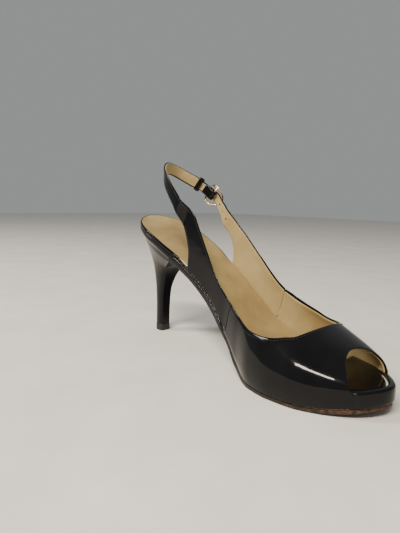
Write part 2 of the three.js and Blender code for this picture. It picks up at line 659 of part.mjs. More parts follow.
function frameMatrix(s) {
  const { origin, tangent, outward, wide } = loopFrame(s);
  return new THREE.Matrix4().makeBasis(tangent, wide, outward).setPosition(origin);
}

const strapWidth = monotone([[0, STRAP_ROOT_WIDTH], [24, STRAP_WIDTH], [buckleArc - 22, STRAP_WIDTH],
  [buckleArc - RING_RADIUS - 0.7, BUCKLE_STRAP_WIDTH],
  [buckleArc + RING_RADIUS + 0.7, BUCKLE_STRAP_WIDTH], [buckleArc + 16, STRAP_WIDTH - 0.4],
  [loopLength, STRAP_ROOT_WIDTH]]);

// The heights of a strap's two layers over its middle surface.
const PATENT = { low: -0.05, top: LEATHER - 0.05 };
const SUEDE = { low: PATENT.low - LAYER_GAP - LINING, top: PATENT.low - LAYER_GAP };

// How far the lateral strap stands off the loop: over the bar, under the rims, then on the back strap.
const TAIL_REST = PATENT.top - SUEDE.low + 0.35;
const OVER_BAR = TAIL_REST + 1.1;
const tailLift = monotone([[buckleArc - 60, TAIL_REST], [buckleArc - RING_RADIUS + 0.3, TAIL_REST],
  [buckleArc - 1.6, OVER_BAR], [buckleArc + 1.6, OVER_BAR],
  [buckleArc + RING_RADIUS + 0.2, 1.7], [buckleArc + 16, 0], [loopLength, 0]]);

// A strap from arc start(y) to end(y), between two heights over its own middle surface.
function strap({ start, end, low, top, lift, columns, trim = 0 }) {
  return bent(columns, 4, 1, (u, v, w) => {
    const y = 2 * v - 1;
    const s = lerp(start(y), end(y), u);
    const { origin, outward, wide } = loopFrame(s);
    const half = strapWidth(s) / 2 - trim;
    return origin.addScaledVector(wide, y * half).addScaledVector(outward, lift(s) + lerp(low, top, w));
  });
}

const roundEnd = (y) => STRAP_ROOT_WIDTH / 2 * Math.sqrt(Math.max(1 - y * y, 0));
const BACK_STRAP_END = buckleArc - 3.4;
const STRAP_STEP = 3.4;
const flat = () => 0;

const backStrap = (layer) => strap({
  start: (y) => -roundEnd(y), end: () => BACK_STRAP_END, ...layer, lift: flat, columns: Math.ceil(BACK_STRAP_END / STRAP_STEP),
});

const tailPoint = (y) => buckleArc - TAIL_LENGTH + 5 * Math.abs(y) ** 1.6;
const punch = (s, radius) => {
  const { origin, outward } = loopFrame(s);
  return cylinder(radius, origin.clone().addScaledVector(outward, -6), origin.clone().addScaledVector(outward, 9), 12);
};
const PRONG_HOLE = 1.9;
const holePlaces = Array.from({ length: HOLES_FREE }, (_, i) => buckleArc + PRONG_HOLE + HOLE_PITCH * (i + 1));
const frontStrap = (layer) => cut(strap({
  start: tailPoint, end: (y) => loopLength + roundEnd(y), ...layer, lift: tailLift,
  columns: Math.ceil((loopLength - buckleArc + TAIL_LENGTH) / STRAP_STEP),
}), punch(buckleArc + PRONG_HOLE, USED_HOLE_RADIUS), ...holePlaces.map((s) => punch(s, HOLE_RADIUS)));

// ---------------------------------------------------------------- buckle, in its own frame: x along, y across, z out
function buckleRing() {
  const ring = mold(new THREE.TorusGeometry(RING_RADIUS, RING_WIRE, 7, 32), (p) => {
    p.z += RING_RISE * (p.x / Math.hypot(p.x, p.y)) ** 2;
    return p;
  });
  const reach = SIDE.clone().multiplyScalar(RING_RADIUS);
  return join(ring, cylinder(BAR_RADIUS, reach.clone().negate(), reach, 12));
}

function buckleProng() {
  const path = new THREE.CatmullRomCurve3(PRONG_SWEEP.map(([x, z]) => new THREE.Vector3(x, 0, z)));
  const round = new THREE.Shape().absarc(0, 0, PRONG_RADIUS, 0, 2 * Math.PI);
  const shaft = new THREE.ExtrudeGeometry(round, { steps: 14, extrudePath: path, curveSegments: 5 });
  const half = SIDE.clone().multiplyScalar(SLOT_WIDTH / 2 - 0.4);
  const collar = cylinder(BAR_RADIUS + FIT + 0.55, half.clone().negate(), half, 16);
  const bore = SIDE.clone().multiplyScalar(SLOT_WIDTH);
  return cut(join(collar, shaft), cylinder(BAR_RADIUS + FIT, bore.clone().negate(), bore, 12));
}

function chapeLoop() {
  const inner = BAR_RADIUS + 0.5;
  const outer = inner + CHAPE;
  const shape = new THREE.Shape();
  const legSteps = [1, 0.75, 0.5, 0.25, 0].map((share) => -CHAPE_REACH * share);
  shape.moveTo(-CHAPE_REACH, -inner);
  legSteps.forEach((x) => shape.lineTo(x, -outer));
  shape.absarc(0, 0, outer, -Math.PI / 2, Math.PI / 2 + 0.35);
  shape.lineTo(-3, PATENT.top);
  shape.lineTo(-3, PATENT.top - CHAPE);
  shape.absarc(0, 0, inner, Math.PI / 2 + 0.35, -Math.PI / 2, true);
  legSteps.slice(1, -1).reverse().forEach((x) => shape.lineTo(x, -inner));
  const wrap = new THREE.ExtrudeGeometry(shape, { depth: BUCKLE_STRAP_WIDTH, bevelEnabled: false, curveSegments: 10 });
  wrap.rotateX(Math.PI / 2).translate(0, BUCKLE_STRAP_WIDTH / 2, 0);
  const slot = new THREE.BoxGeometry(4, SLOT_WIDTH, 8).translate(2 - 1.5, 0, 0);
  return mold(cut(wrap, slot), (p) => {
    const { origin, outward, wide } = loopFrame(buckleArc + Math.min(p.x, 0));
    const ahead = loopFrame(buckleArc).tangent.multiplyScalar(Math.max(p.x, 0));
    return origin.add(ahead).addScaledVector(wide, p.y).addScaledVector(outward, p.z);
  });
}

function keeperLoop() {
  const half = strapWidth(buckleArc - KEEPER_PLACE) / 2 + KEEPER_CLEARANCE;
  const low = SUEDE.low - KEEPER_CLEARANCE;
  const top = tailLift(buckleArc - KEEPER_PLACE) + PATENT.top + KEEPER_CLEARANCE;
  const box = (grow, way) => {
    const path = new way();
    path.moveTo(-half - grow, low - grow);
    path.lineTo(half + grow, low - grow);
    path.lineTo(half + grow, top + grow);
    path.lineTo(-half - grow, top + grow);
    path.closePath();
    return path;
  };
  const shape = box(KEEPER_WALL, THREE.Shape);
  shape.holes.push(box(0, THREE.Path));
  const band = new THREE.ExtrudeGeometry(shape, { depth: KEEPER_WIDTH, bevelEnabled: false });
  const turn = new THREE.Matrix4().makeBasis(SIDE, UP, FRONT);
  return band.translate(0, 0, -KEEPER_WIDTH / 2).applyMatrix4(turn);
}

// ---------------------------------------------------------------- materials and the scene graph
const finish = (color, roughness, metalness = 0) => ({ color, roughness, metalness });
const PATENT_BLACK = finish(0x0b0b0d, 0.12);
const TAN = finish(0xb08e5f, 0.6);
const STEEL = finish(0x9a9a98, 0.35, 1);
const GOLD = finish(0xc9b27c, 0.25, 1);
const FIBRE = finish(0x8d6f4c, 0.85);

function part(name, geometry, look) {
  const mesh = new THREE.Mesh(geometry, new THREE.MeshStandardMaterial(look));
  mesh.name = name;
  return mesh;
}

function group(...children) {
  const made = new THREE.Group();
  made.add(...children);
  return made;
}

const upperGroup = group(
  part('vamp', vamp(), PATENT_BLACK),
  part('vamp_lining', vampLining(), TAN),
  part('medial_quarter', quarter(-1), PATENT_BLACK),
  part('lateral_quarter', quarter(1), PATENT_BLACK),
  part('medial_quarter_lining', quarterLining(-1), TAN),
  part('lateral_quarter_lining', quarterLining(1), TAN),
  part('seat_rand', seatRand(), PATENT_BLACK),
  part('platform_front', platformFront(), PATENT_BLACK),
);

const bottomGroup = group(
  part('sock_lining', sockLining(), TAN),
  part('toe_sock', toeSock(), PATENT_BLACK),
  part('insock_foam', foamLayer(), finish(0xd9d2c0, 0.95)),
  part('insole_board', cut(insoleBoard(), ...nailHoles, ...rivetHoles, screwHole), FIBRE),
  part('backpart_board', cut(backpartBoard(), shank(GAP), ...nailHoles), FIBRE),
  part('shank', cut(shank(0), ...rivetHoles, screwHole), STEEL),
  part('platform_core', platformCore(), finish(0xc9b48c, 0.9)),
  part('outsole', outsole(), finish(0x1c1613, 0.55)),
  ...RIVET_PLACES.map((p, i) => part(`shank_rivet_${i + 1}`, rivet(p, 0), STEEL)),
);

const heelGroup = group(
  part('heel_core', cut(heelCore(), ...nailHoles, screwHole,
    cylinder(TUBE.radius + FIT, stemAt(0), stemAt(TUBE.top + FIT))), finish(0x2a2a2c, 0.5)),
  part('heel_cover', heelCover(), PATENT_BLACK),
  part('heel_tip', cut(heelTip(), tipPin(FIT)), finish(0x17171a, 0.6)),
  part('heel_tube', heelTube(), STEEL),
  part('tip_pin', tipPin(0), STEEL),
  part('heel_screw', fastener(SCREW, SCREW_PLACE, SCREW_SINK, 0), STEEL),
  ...NAIL_PLACES.map((p, i) => part(`heel_nail_${i + 1}`, fastener(heelNail, p, SEAT_SINK, 0), STEEL)),
);

const ring = part('buckle_ring', buckleRing(), GOLD);
const prong = part('buckle_prong', buckleProng(), GOLD);
const buckle = group(ring, prong);
buckle.applyMatrix4(frameMatrix(buckleArc));
const keeper = group(part('strap_keeper', keeperLoop(), PATENT_BLACK));
keeper.applyMatrix4(frameMatrix(buckleArc - KEEPER_PLACE));

const slingGroup = group(
  part('back_strap', backStrap(PATENT), PATENT_BLACK),
  part('back_strap_lining', backStrap(SUEDE), TAN),
  part('front_strap', frontStrap(PATENT), PATENT_BLACK),
  part('front_strap_lining', frontStrap(SUEDE), TAN),
  part('chape_loop', chapeLoop(), PATENT_BLACK),
  buckle,
  keeper,
);

// The shoe stands with the middle of its box over the origin.
const shoe = group(upperGroup, bottomGroup, heelGroup, slingGroup);
const box = new THREE.Box3().setFromObject(shoe, true);
const middle = box.getCenter(new THREE.Vector3());
shoe.position.set(-middle.x, -middle.y, -box.min.z);
shoe.name = 'slingback_pump';

export default group(shoe);
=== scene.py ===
# The looks of a peep-toe slingback pump in black patent leather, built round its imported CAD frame.
# Shapes are worked out in millimetres from the back of the seat, then placed in the frame in metres.
import math

import bmesh
import bpy
from mathutils import Matrix, Vector


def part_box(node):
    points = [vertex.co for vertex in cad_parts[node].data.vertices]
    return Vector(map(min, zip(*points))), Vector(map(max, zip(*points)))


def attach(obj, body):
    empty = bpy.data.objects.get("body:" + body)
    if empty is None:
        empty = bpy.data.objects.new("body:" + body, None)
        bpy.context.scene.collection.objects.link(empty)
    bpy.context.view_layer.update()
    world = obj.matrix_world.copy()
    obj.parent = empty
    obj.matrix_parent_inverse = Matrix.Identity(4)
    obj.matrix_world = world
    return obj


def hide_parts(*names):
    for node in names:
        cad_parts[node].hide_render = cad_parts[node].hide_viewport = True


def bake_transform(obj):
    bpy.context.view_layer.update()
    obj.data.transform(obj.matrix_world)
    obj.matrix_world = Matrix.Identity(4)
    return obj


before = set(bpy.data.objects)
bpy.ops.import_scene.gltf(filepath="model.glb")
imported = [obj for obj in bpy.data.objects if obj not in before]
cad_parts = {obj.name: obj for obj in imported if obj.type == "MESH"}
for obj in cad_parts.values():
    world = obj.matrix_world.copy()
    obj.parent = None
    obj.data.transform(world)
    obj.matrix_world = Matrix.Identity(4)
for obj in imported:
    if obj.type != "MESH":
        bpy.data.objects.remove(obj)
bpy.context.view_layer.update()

# ---------------------------------------------------------------- sizes, as the CAD draws them
LENGTH = 223.0
GAP = 0.3
LEATHER = 1.0
LINING = 0.6
SOCK = 1.0
STACK = 6.9
OUTSOLE = 2.2
RAND_HEIGHT = 6.8
SKIN_OUT = 0.9
LINED = SKIN_OUT - LEATHER - LINING - 3.5 * GAP
TIP_HEIGHT = 5.5
STRAP_ROOT_WIDTH = 13.0
STRAP_WIDTH = 10.0
BUCKLE_STRAP_WIDTH = 7.7
RING_RADIUS = 8.3
RING_WIRE = 0.9
RING_RISE = 5.6
BAR_RADIUS = 0.8
HOLE_PITCH = 9.0
TAIL_LENGTH = 27.0
KEEPER_PLACE = 15.5
SHIFT = Vector((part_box("seat_rand")[0].x * 1000 + SKIN_OUT - GAP, 0, 0))


def metres(p):
    return (Vector(p) + SHIFT) / 1000


def mix(a, b, t):
    return a + (b - a) * t


def clamp(x, low=0.0, high=1.0):
    return max(low, min(high, x))


def ease(x, low, high):
    t = clamp((x - low) / (high - low))
    return t * t * (3 - 2 * t)


def monotone(points):
    """A smooth function through points that never overshoots them."""
    slopes = [(b[1] - a[1]) / (b[0] - a[0]) for a, b in zip(points, points[1:])]
    bends = [slopes[0]]
    for before, after in zip(slopes, slopes[1:]):
        bends.append(0 if before * after <= 0 else 2 * before * after / (before + after))
    bends.append(slopes[-1])

    def value(x):
        i = 0
        while i < len(points) - 2 and x > points[i + 1][0]:
            i += 1
        width = points[i + 1][0] - points[i][0]
        t = clamp((x - points[i][0]) / width)
        lean = width * (t * (1 - t) ** 2 * bends[i] - t * t * (1 - t) * bends[i + 1])
        return mix(points[i][1], points[i + 1][1], t * t * (3 - 2 * t)) + lean

    return value


def station_x(t):
    return LENGTH * (1 - math.cos(math.pi * t)) / 2


def station_of(x):
    return math.acos(clamp(1 - 2 * x / LENGTH, -1, 1)) / math.pi


def outline_edge(points):
    return monotone([(station_of(x), y) for x, y in points])


medial_edge = outline_edge([
    (0, 0), (1, -6), (3, -10.5), (7, -16.5), (15, -23), (30, -26.6), (45, -26.2), (65, -23), (90, -20.5),
    (110, -22.5), (130, -30), (150, -39.5), (165, -42), (180, -41), (195, -36), (208, -28.5),
    (215, -22.5), (220, -15.5), (223, -6)])
lateral_edge = outline_edge([
    (0, 0), (1, 6), (3, 10.5), (7, 16.5), (15, 23), (30, 26.6), (45, 26.8), (65, 26.5), (90, 28),
    (110, 31.5), (130, 38), (150, 42), (165, 41.5), (180, 37.5), (195, 30), (208, 19),
    (215, 10.3), (220, 2.8), (223, -6)])
footbed = monotone([
    (0, 100.4), (25, 90.5), (50, 78.5), (75, 63.5), (100, 42.5), (120, 23.5), (135, 15), (150, 12.3),
    (180, 12), (200, 13.5), (223, 17)])
underside = monotone(
    [(x, footbed(x) - STACK - GAP - OUTSOLE) for x in (50, 62, 75, 88, 100, 112)]
    + [(121, 14.5), (132, 5.5), (145, 0.6), (152, 0), (185, 0), (205, 1.8), (223, 5.5)])
ridge_height = monotone([
    (60, 200), (75, 180), (85, 158), (95, 135), (105, 114), (115, 98), (125, 82), (140, 63), (155, 52),
    (172, 42), (185, 36), (197, 31), (210, 25), (223, 19)])
ridge_side = monotone([(60, 2), (100, 2), (172, -3), (223, -5)])


def outline(side, t, out):
    """A point of the footbed's outline moved outwards by out; side is -1 medial, +1 lateral."""
    half_width = medial_edge if side < 0 else lateral_edge
    back, fore = max(t - 1e-3, 0), min(t + 1e-3, 1)
    dx = station_x(fore) - station_x(back)
    dy = half_width(fore) - half_width(back)
    size = math.hypot(dx, dy)
    return Vector((station_x(t) - side * out * dy / size, half_width(t) + side * out * dx / size))


# ---------------------------------------------------------------- the upper's surface
SECTION_POWER = 2.2
WALL_ANGLE = 0.8
ANGLE_MM = 50.0
WALL_TUCK = 1.3


def on_upper(x, angle):
    """A point outside the upper: angle runs from -1, medial edge, over 0, ridge, to 1, lateral edge."""
    side = -1 if angle < 0 else 1
    reach = min(abs(angle), 1)
    base = outline(side, station_of(x), SKIN_OUT)
    low = underside(x) + OUTSOLE + GAP
    if reach > WALL_ANGLE:
        drop = (reach - WALL_ANGLE) / (1 - WALL_ANGLE)
        tucked = outline(side, station_of(x), SKIN_OUT - WALL_TUCK * drop * drop)
        return Vector((tucked.x, tucked.y, mix(footbed(x), low, drop)))
    theta = (1 - reach / WALL_ANGLE) * math.pi / 2
    cos, sin = max(math.cos(theta), 0), math.sin(theta)
    size = (cos ** SECTION_POWER + sin ** SECTION_POWER) ** (1 / SECTION_POWER)
    out, rise = cos / size, sin / size
    return Vector((mix(x, base.x, out), mix(ridge_side(x), base.y, out),
                   mix(footbed(x), ridge_height(x), rise)))


def upper_normal(x, angle):
    step = 0.02
    lengthwise = on_upper(x + step, angle) - on_upper(x - step, angle)
    crosswise = on_upper(x, angle + step) - on_upper(x, angle - step)
    return lengthwise.cross(crosswise).normalized()


def in_upper(x, angle, depth):
    return on_upper(x, angle) - upper_normal(x, angle) * depth


def angle_at(side, x, z):
    low = underside(x) + OUTSOLE + GAP
    bed = footbed(x)
    if z < bed:
        return side * mix(WALL_ANGLE, 1, clamp((bed - z) / (bed - low)))
    rise = min((z - bed) / (ridge_height(x) - bed), 1)
    out = (1 - rise ** SECTION_POWER) ** (1 / SECTION_POWER)
    return side * WALL_ANGLE * (1 - math.atan2(rise, out) * 2 / math.pi)


def wall(side, x, z):
    return Vector((x, angle_at(side, x, z)))


def rim(side, x, drop):
    return wall(side, x, footbed(x) - drop)


class Path:
    """A smooth curve through points, read by its length from 0 to 1."""

    def __init__(self, points, even=True, fine=24):
        self.samples = []
        ends = [points[0] * 2 - points[1] if not even else points[0]]
        ends_after = [points[-1] * 2 - points[-2] if not even else points[-1]]
        p = ends + list(points) + ends_after
        for i in range(1, len(p) - 2):
            for k in range(fine):
                self.samples.append(self.between(p[i - 1:i + 3], k / fine, even))
        self.samples.append(points[-1].copy())
        self.lengths = [0.0]
        for a, b in zip(self.samples, self.samples[1:]):
            self.lengths.append(self.lengths[-1] + (b - a).length)
        self.length = self.lengths[-1]

    @staticmethod
    def between(p, t, even):
        if even:
            lead, trail = (p[2] - p[0]) / 2, (p[3] - p[1]) / 2
        else:
            gaps = [max((b - a).length ** 0.5, 1e-6) for a, b in zip(p, p[1:])]
            lead = (p[1] - p[0]) / gaps[0] - (p[2] - p[0]) / (gaps[0] + gaps[1]) + (p[2] - p[1]) / gaps[1]
            trail = (p[2] - p[1]) / gaps[1] - (p[3] - p[1]) / (gaps[1] + gaps[2]) + (p[3] - p[2]) / gaps[2]
            lead, trail = lead * gaps[1], trail * gaps[1]
        t2, t3 = t * t, t * t * t
        return (p[1] * (2 * t3 - 3 * t2 + 1) + lead * (t3 - 2 * t2 + t)
                + p[2] * (3 * t2 - 2 * t3) + trail * (t3 - t2))

    def at(self, u):
        want = clamp(u) * self.length
        low, high = 0, len(self.lengths) - 1
        while high - low > 1:
            middle = (low + high) // 2
            if self.lengths[middle] > want:
                high = middle
            else:
                low = middle
        span = self.lengths[high] - self.lengths[low]
        share = 0 if span == 0 else (want - self.lengths[low]) / span
        return self.samples[low].lerp(self.samples[high], share)


def run(points):
    """A smooth run through (station, angle) points, measured as if flat."""
    path = Path([Vector((x, angle * ANGLE_MM)) for x, angle in points])

    def at(u):
        p = path.at(u)
        return Vector((p.x, p.y / ANGLE_MM))

    return at


def runs(parts, breaks):
    ends = [0, *breaks, 1]

    def at(u):
        i = 0
        while i < len(parts) - 1 and u > ends[i + 1]:
            i += 1
        return parts[i]((u - ends[i]) / (ends[i + 1] - ends[i]))

    return at


# ---------------------------------------------------------------- the edges of the upper's pieces
SEAM_LOW = 110
QUARTER_BACK = 72
RIM_DROP = 1.0
LINING_DROP = SOCK + 1.0 + GAP
TOPLINE = {
    -1: [(122, 45.5), (132.6, 39.8), (146.9, 35.4), (155.5, 34.8), (163.5, 35.2), (169.6, 36.4)],
    1: [(122, 49.8), (136.7, 42.8), (148, 38.4), (155.5, 35.6), (163.5, 34.8), (170.6, 35.6)]}
THROAT = [(173.6, -0.3), (176.5, -0.15), (177.2, 0), (176.3, 0.16), (174.2, 0.3)]
PEEP = {
    -1: [(214.3, 5.8), (211.4, 14.6), (206.6, 22.2), (201.6, 27.4)],
    1: [(213.2, 5.6), (208.6, 16.4), (204.9, 22.6), (200.9, 27.2)]}
PEEP_TOP = (197.6, 0)
VAMP_BREAKS = [5 / 14, 9 / 14]
top_run = {s: [wall(s, *p) for p in TOPLINE[s]] for s in (-1, 1)}
vamp_top = runs([run(top_run[-1]), run([top_run[-1][-1], *map(Vector, THROAT), top_run[1][-1]]),
                 run(top_run[1][::-1])], VAMP_BREAKS)
peep_run = {s: [Vector((PEEP[s][0][0], s)), *(wall(s, *p) for p in PEEP[s][1:])] for s in (-1, 1)}
peep_edge = [*peep_run[-1], Vector(PEEP_TOP), *peep_run[1][::-1]]
side_run = {s: [Vector((x, s)) for x in (SEAM_LOW, 130, 150, 172, 194)] for s in (-1, 1)}
vamp_low = runs([run([*side_run[-1], peep_edge[0]]), run(peep_edge),
                 run([*side_run[1], peep_edge[-1]][::-1])], VAMP_BREAKS)
lining_side = {s: [rim(s, x, LINING_DROP) for x in (114, 130, 150, 172, 190, 203, 209)] for s in (-1, 1)}
peep_lining = [Vector((p.x - 1.0, p.y)) for p in peep_edge[1:-1]]
lining_low = runs([run(lining_side[-1]), run([lining_side[-1][-1], *peep_lining, lining_side[1][-1]]),
                   run(lining_side[1][::-1])], VAMP_BREAKS)

STRAP_JOINT = {-1: (73, 98.5), 1: (66.5, 98)}
STRAP_AIM = {-1: (-0.62, 0.785), 1: (-0.66, 0.751)}
QUARTER_FRONT = {
    -1: [(122, 45.5), (114, 50), (106.5, 56.3), (100.5, 63.6), (96.1, 70.2)],
    1: [(122, 49.8), (116.6, 54.6), (110.1, 61.8), (104, 69), (98.5, 75)]}
STRAP_FRONT = {
    -1: [(96.1, 70.2), (89.6, 81), (84, 91.2)],
    1: [(98.5, 75), (88.3, 86), (79.5, 94.3)]}
STRAP_REAR = {
    -1: [(73.2, 74.5), (72.2, 81.5), (70.2, 88.6)],
    1: [(73, 72.4), (71.6, 80.5), (68, 87.5)]}
STRAP_BREAK = 5 / 11
QUARTER_BREAKS = [STRAP_BREAK]


def strap_edge(side, way):
    x, z = STRAP_JOINT[side]
    aim_x, aim_z = STRAP_AIM[side]
    half = way * STRAP_ROOT_WIDTH / 2
    return wall(side, x + half * aim_z, z - half * aim_x)


def seam_station(side, angle):
    """Where the quarter's front seam stands at an angle, between the sole and the topline."""
    top = wall(side, *QUARTER_FRONT[side][0])
    return SEAM_LOW + (top.x - SEAM_LOW) * (angle - side) / (top.y - side)


def quarter_edges(side, drop, foot):
    rear = rim(side, QUARTER_BACK, drop)
    rim_run = [rim(side, x, drop) for x in (103, 97, 90, 83, 77)]
    lower = runs([run([foot, *rim_run, rear]),
                  run([rear, *(wall(side, *p) for p in STRAP_REAR[side]), strap_edge(side, -1)])],
                 QUARTER_BREAKS)
    upper = runs([run([wall(side, *p) for p in QUARTER_FRONT[side]]),
                  run([*(wall(side, *p) for p in STRAP_FRONT[side]), strap_edge(side, 1)])],
                 QUARTER_BREAKS)
    return lower, upper


# ---------------------------------------------------------------- the sling's loop
def strap_root(side):
    x, z = STRAP_JOINT[side]
    return in_upper(x, angle_at(side, x, z), LEATHER - 0.05)


BUCKLE_POINT = Vector((44.5, 28.8, 118.3))
LOOP = Path([
    strap_root(-1), *map(Vector, (
        (66.3, -24, 106.5), (59.5, -24.2, 114.5), (52, -23.2, 122), (43, -20.3, 130.2), (35.5, -15, 135.6),
        (29.6, -7, 138.8), (26.6, 1.5, 138), (26, 9, 135.6), (28, 16.8, 132), (32, 23, 128.2),
        (37.8, 26.8, 123.8))),
    BUCKLE_POINT, Vector((51, 29.6, 112.2)), Vector((58.5, 29.2, 105.2)), strap_root(1)], even=False)
BUCKLE = min(range(1201), key=lambda i: (LOOP.at(i / 1200) - BUCKLE_POINT).length) / 1200 * LOOP.length


def loop_frame(s):
    """Origin, along, outward and across at the arc length s of the sling."""
    inside = clamp(s, 0, LOOP.length)
    step = 0.4
    low, high = max(inside - step, 0), min(inside + step, LOOP.length)
    along = (LOOP.at(high / LOOP.length) - LOOP.at(low / LOOP.length)).normalized()
    origin = LOOP.at(inside / LOOP.length) + along * (s - inside)
    outward = Vector((-along.y, along.x, 0)).normalized()
    if outward.dot(origin - Vector((52, 0, origin.z))) < 0:
        outward.negate()
    return origin, along, outward, outward.cross(along)


strap_width = monotone([
    (0, STRAP_ROOT_WIDTH), (24, STRAP_WIDTH), (BUCKLE - 22, STRAP_WIDTH), (BUCKLE - 9, BUCKLE_STRAP_WIDTH),
    (BUCKLE + 9, BUCKLE_STRAP_WIDTH), (BUCKLE + 16, STRAP_WIDTH - 0.4), (LOOP.length, STRAP_ROOT_WIDTH)])
TAIL_REST = 2.4
tail_lift = monotone([
    (BUCKLE - 60, TAIL_REST), (BUCKLE - 8, TAIL_REST), (BUCKLE - 1.6, 3.5), (BUCKLE + 1.6, 3.5),
    (BUCKLE + 8.5, 1.7), (BUCKLE + 16, 0), (LOOP.length, 0)])


def on_strap(s, y, lift):
    """A point at arc s, y from -1 to 1 across, and lift outwards; its edges round off a little."""
    origin, _, outward, across = loop_frame(s)
    crown = 0.25 * (1 - y * y) - 0.12
    return origin + across * (y * strap_width(s) / 2) + outward * (lift + crown)


# ---------------------------------------------------------------- meshes
def new_object(name, bm):
    mesh = bpy.data.meshes.new(name)
    bm.to_mesh(mesh)
    bm.free()
    for face in mesh.polygons:
        face.use_smooth = True
    obj = bpy.data.objects.new(name, mesh)
    bpy.context.scene.collection.objects.link(obj)
    return obj


def bend_grid(columns, rows, place, closed=False):
    """A grid whose corners, 0 to 1 each way, move to place(u, v). closed joins its two ends."""
    bm = bmesh.new()
    bmesh.ops.create_grid(bm, x_segments=columns, y_segments=rows, size=0.5)
    for v in bm.verts:
        v.co = metres(place(v.co.x + 0.5, v.co.y + 0.5))
    if closed:
        bmesh.ops.remove_doubles(bm, verts=bm.verts, dist=1e-6)
    bm.normal_update()
    return bm


def face_out(bm, heart):
    """Turns the sheet so that its faces look away from heart, a function of a point in millimetres."""
    votes = 0
    for face in bm.faces:
        centre = face.calc_center_median() * 1000 - SHIFT
        votes += 1 if face.normal.dot(centre - heart(centre)) > 0 else -1
    if votes < 0:
        bmesh.ops.reverse_faces(bm, faces=bm.faces)
    return bm


def foot_axis(p):
    return Vector((p.x - 1, 0, footbed(clamp(p.x, 0, LENGTH)) + 4))


def thicken(obj, thickness, levels=2, way=-1, crease=0.0):
    """Gives a sheet its thickness in millimetres, inwards for way -1, and rounds it."""
    solid = obj.modifiers.new("thickness", "SOLIDIFY")
    solid.thickness = thickness / 1000
    solid.offset = way
    solid.use_even_offset = True
    solid.thickness_clamp = 0
    solid.edge_crease_rim = crease
    smooth = obj.modifiers.new("smooth", "SUBSURF")
    smooth.levels = levels
    smooth.render_levels = levels
    return obj


def apply_modifiers(obj):
    graph = bpy.context.evaluated_depsgraph_get()
    mesh = bpy.data.meshes.new_from_object(obj.evaluated_get(graph))
    obj.modifiers.clear()
    obj.data = mesh
    return obj


def cut_away(obj, cutters):
    """Cuts closed meshes out of a finished piece and removes them."""
    apply_modifiers(obj)
    for cutter in cutters:
        boolean = obj.modifiers.new("cut", "BOOLEAN")
        boolean.operation = "DIFFERENCE"
        boolean.solver = "MANIFOLD"
        boolean.object = cutter
        apply_modifiers(obj)
        bpy.data.objects.remove(cutter)
    return obj


def finish_piece(obj, material, body, nodes):
    """Gives a piece its material, the CAD nodes it stands for, and its body, when one is given."""
    obj.data.materials.clear()
    obj.data.materials.append(material)
    if body:
        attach(obj, body)
    if nodes:
        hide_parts(*nodes)
    return obj


def tube(name, points, radius, sides=10, ends=True):
    """A round rod through points in millimetres."""
    curve = bpy.data.curves.new(name, "CURVE")
    curve.dimensions = "3D"
    curve.bevel_depth = radius / 1000
    curve.bevel_resolution = max(sides // 4, 1)
    curve.use_fill_caps = ends
    spline = curve.splines.new("POLY")
    spline.points.add(len(points) - 1)
    for knot, p in zip(spline.points, points):
        knot.co = (*metres(p), 1)
    rod = bpy.data.objects.new(name, curve)
    bpy.context.scene.collection.objects.link(rod)
    graph = bpy.context.evaluated_depsgraph_get()
    mesh = bpy.data.meshes.new_from_object(rod.evaluated_get(graph))
    bpy.data.objects.remove(rod)
    bm = bmesh.new()
    bm.from_mesh(mesh)
    bmesh.ops.remove_doubles(bm, verts=bm.verts, dist=1e-6)
    bmesh.ops.recalc_face_normals(bm, faces=bm.faces)
    return new_object(name, bm)


def joined(objects, name):
    """Makes several finished meshes one piece."""
    bm = bmesh.new()
    for obj in objects:
        apply_modifiers(obj)
        bm.from_mesh(obj.data)
        bpy.data.objects.remove(obj)
    return new_object(name, bm)


# ---------------------------------------------------------------- materials
def linear(colour):
    """The linear value of an sRGB hex colour."""
    parts = [int(colour[i:i + 2], 16) / 255 for i in (1, 3, 5)]
    return (*(c / 12.92 if c <= 0.04045 else ((c + 0.055) / 1.055) ** 2.4 for c in parts), 1)


def add_node(tree, kind, settings=None, links=None):
    """Adds a node, sets its properties or sockets, and links sockets from other nodes."""
    node = tree.nodes.new(kind)
    for key, value in (settings or {}).items():
        if isinstance(key, str) and hasattr(node, key):
            setattr(node, key, value)
        else:
            node.inputs[key].default_value = value
    for key, source in (links or {}).items():
        tree.links.new(source, node.inputs[key])
    return node


def new_material(name, shader_settings):
    material = bpy.data.materials.new(name)
    material.use_nodes = True
    tree = material.node_tree
    shader = tree.nodes["Principled BSDF"]
    for key, value in shader_settings.items():
        shader.inputs[key].default_value = value
    return material, tree, shader


def object_space(tree):
    return add_node(tree, "ShaderNodeTexCoord").outputs["Object"]


def ramp(tree, source, stops):
    node = add_node(tree, "ShaderNodeValToRGB", links={"Fac": source})
    elements = node.color_ramp.elements
    while len(elements) < len(stops):
        elements.new(0.5)
    for element, (place, colour) in zip(elements, stops):
        element.position = place
        element.color = colour if isinstance(colour, tuple) else linear(colour)
    return node.outputs["Color"]


def grey(value):
    return (value, value, value, 1)


def per_mm(size):
    """The texture scale whose features are about size millimetres across."""
    return 1000 / size


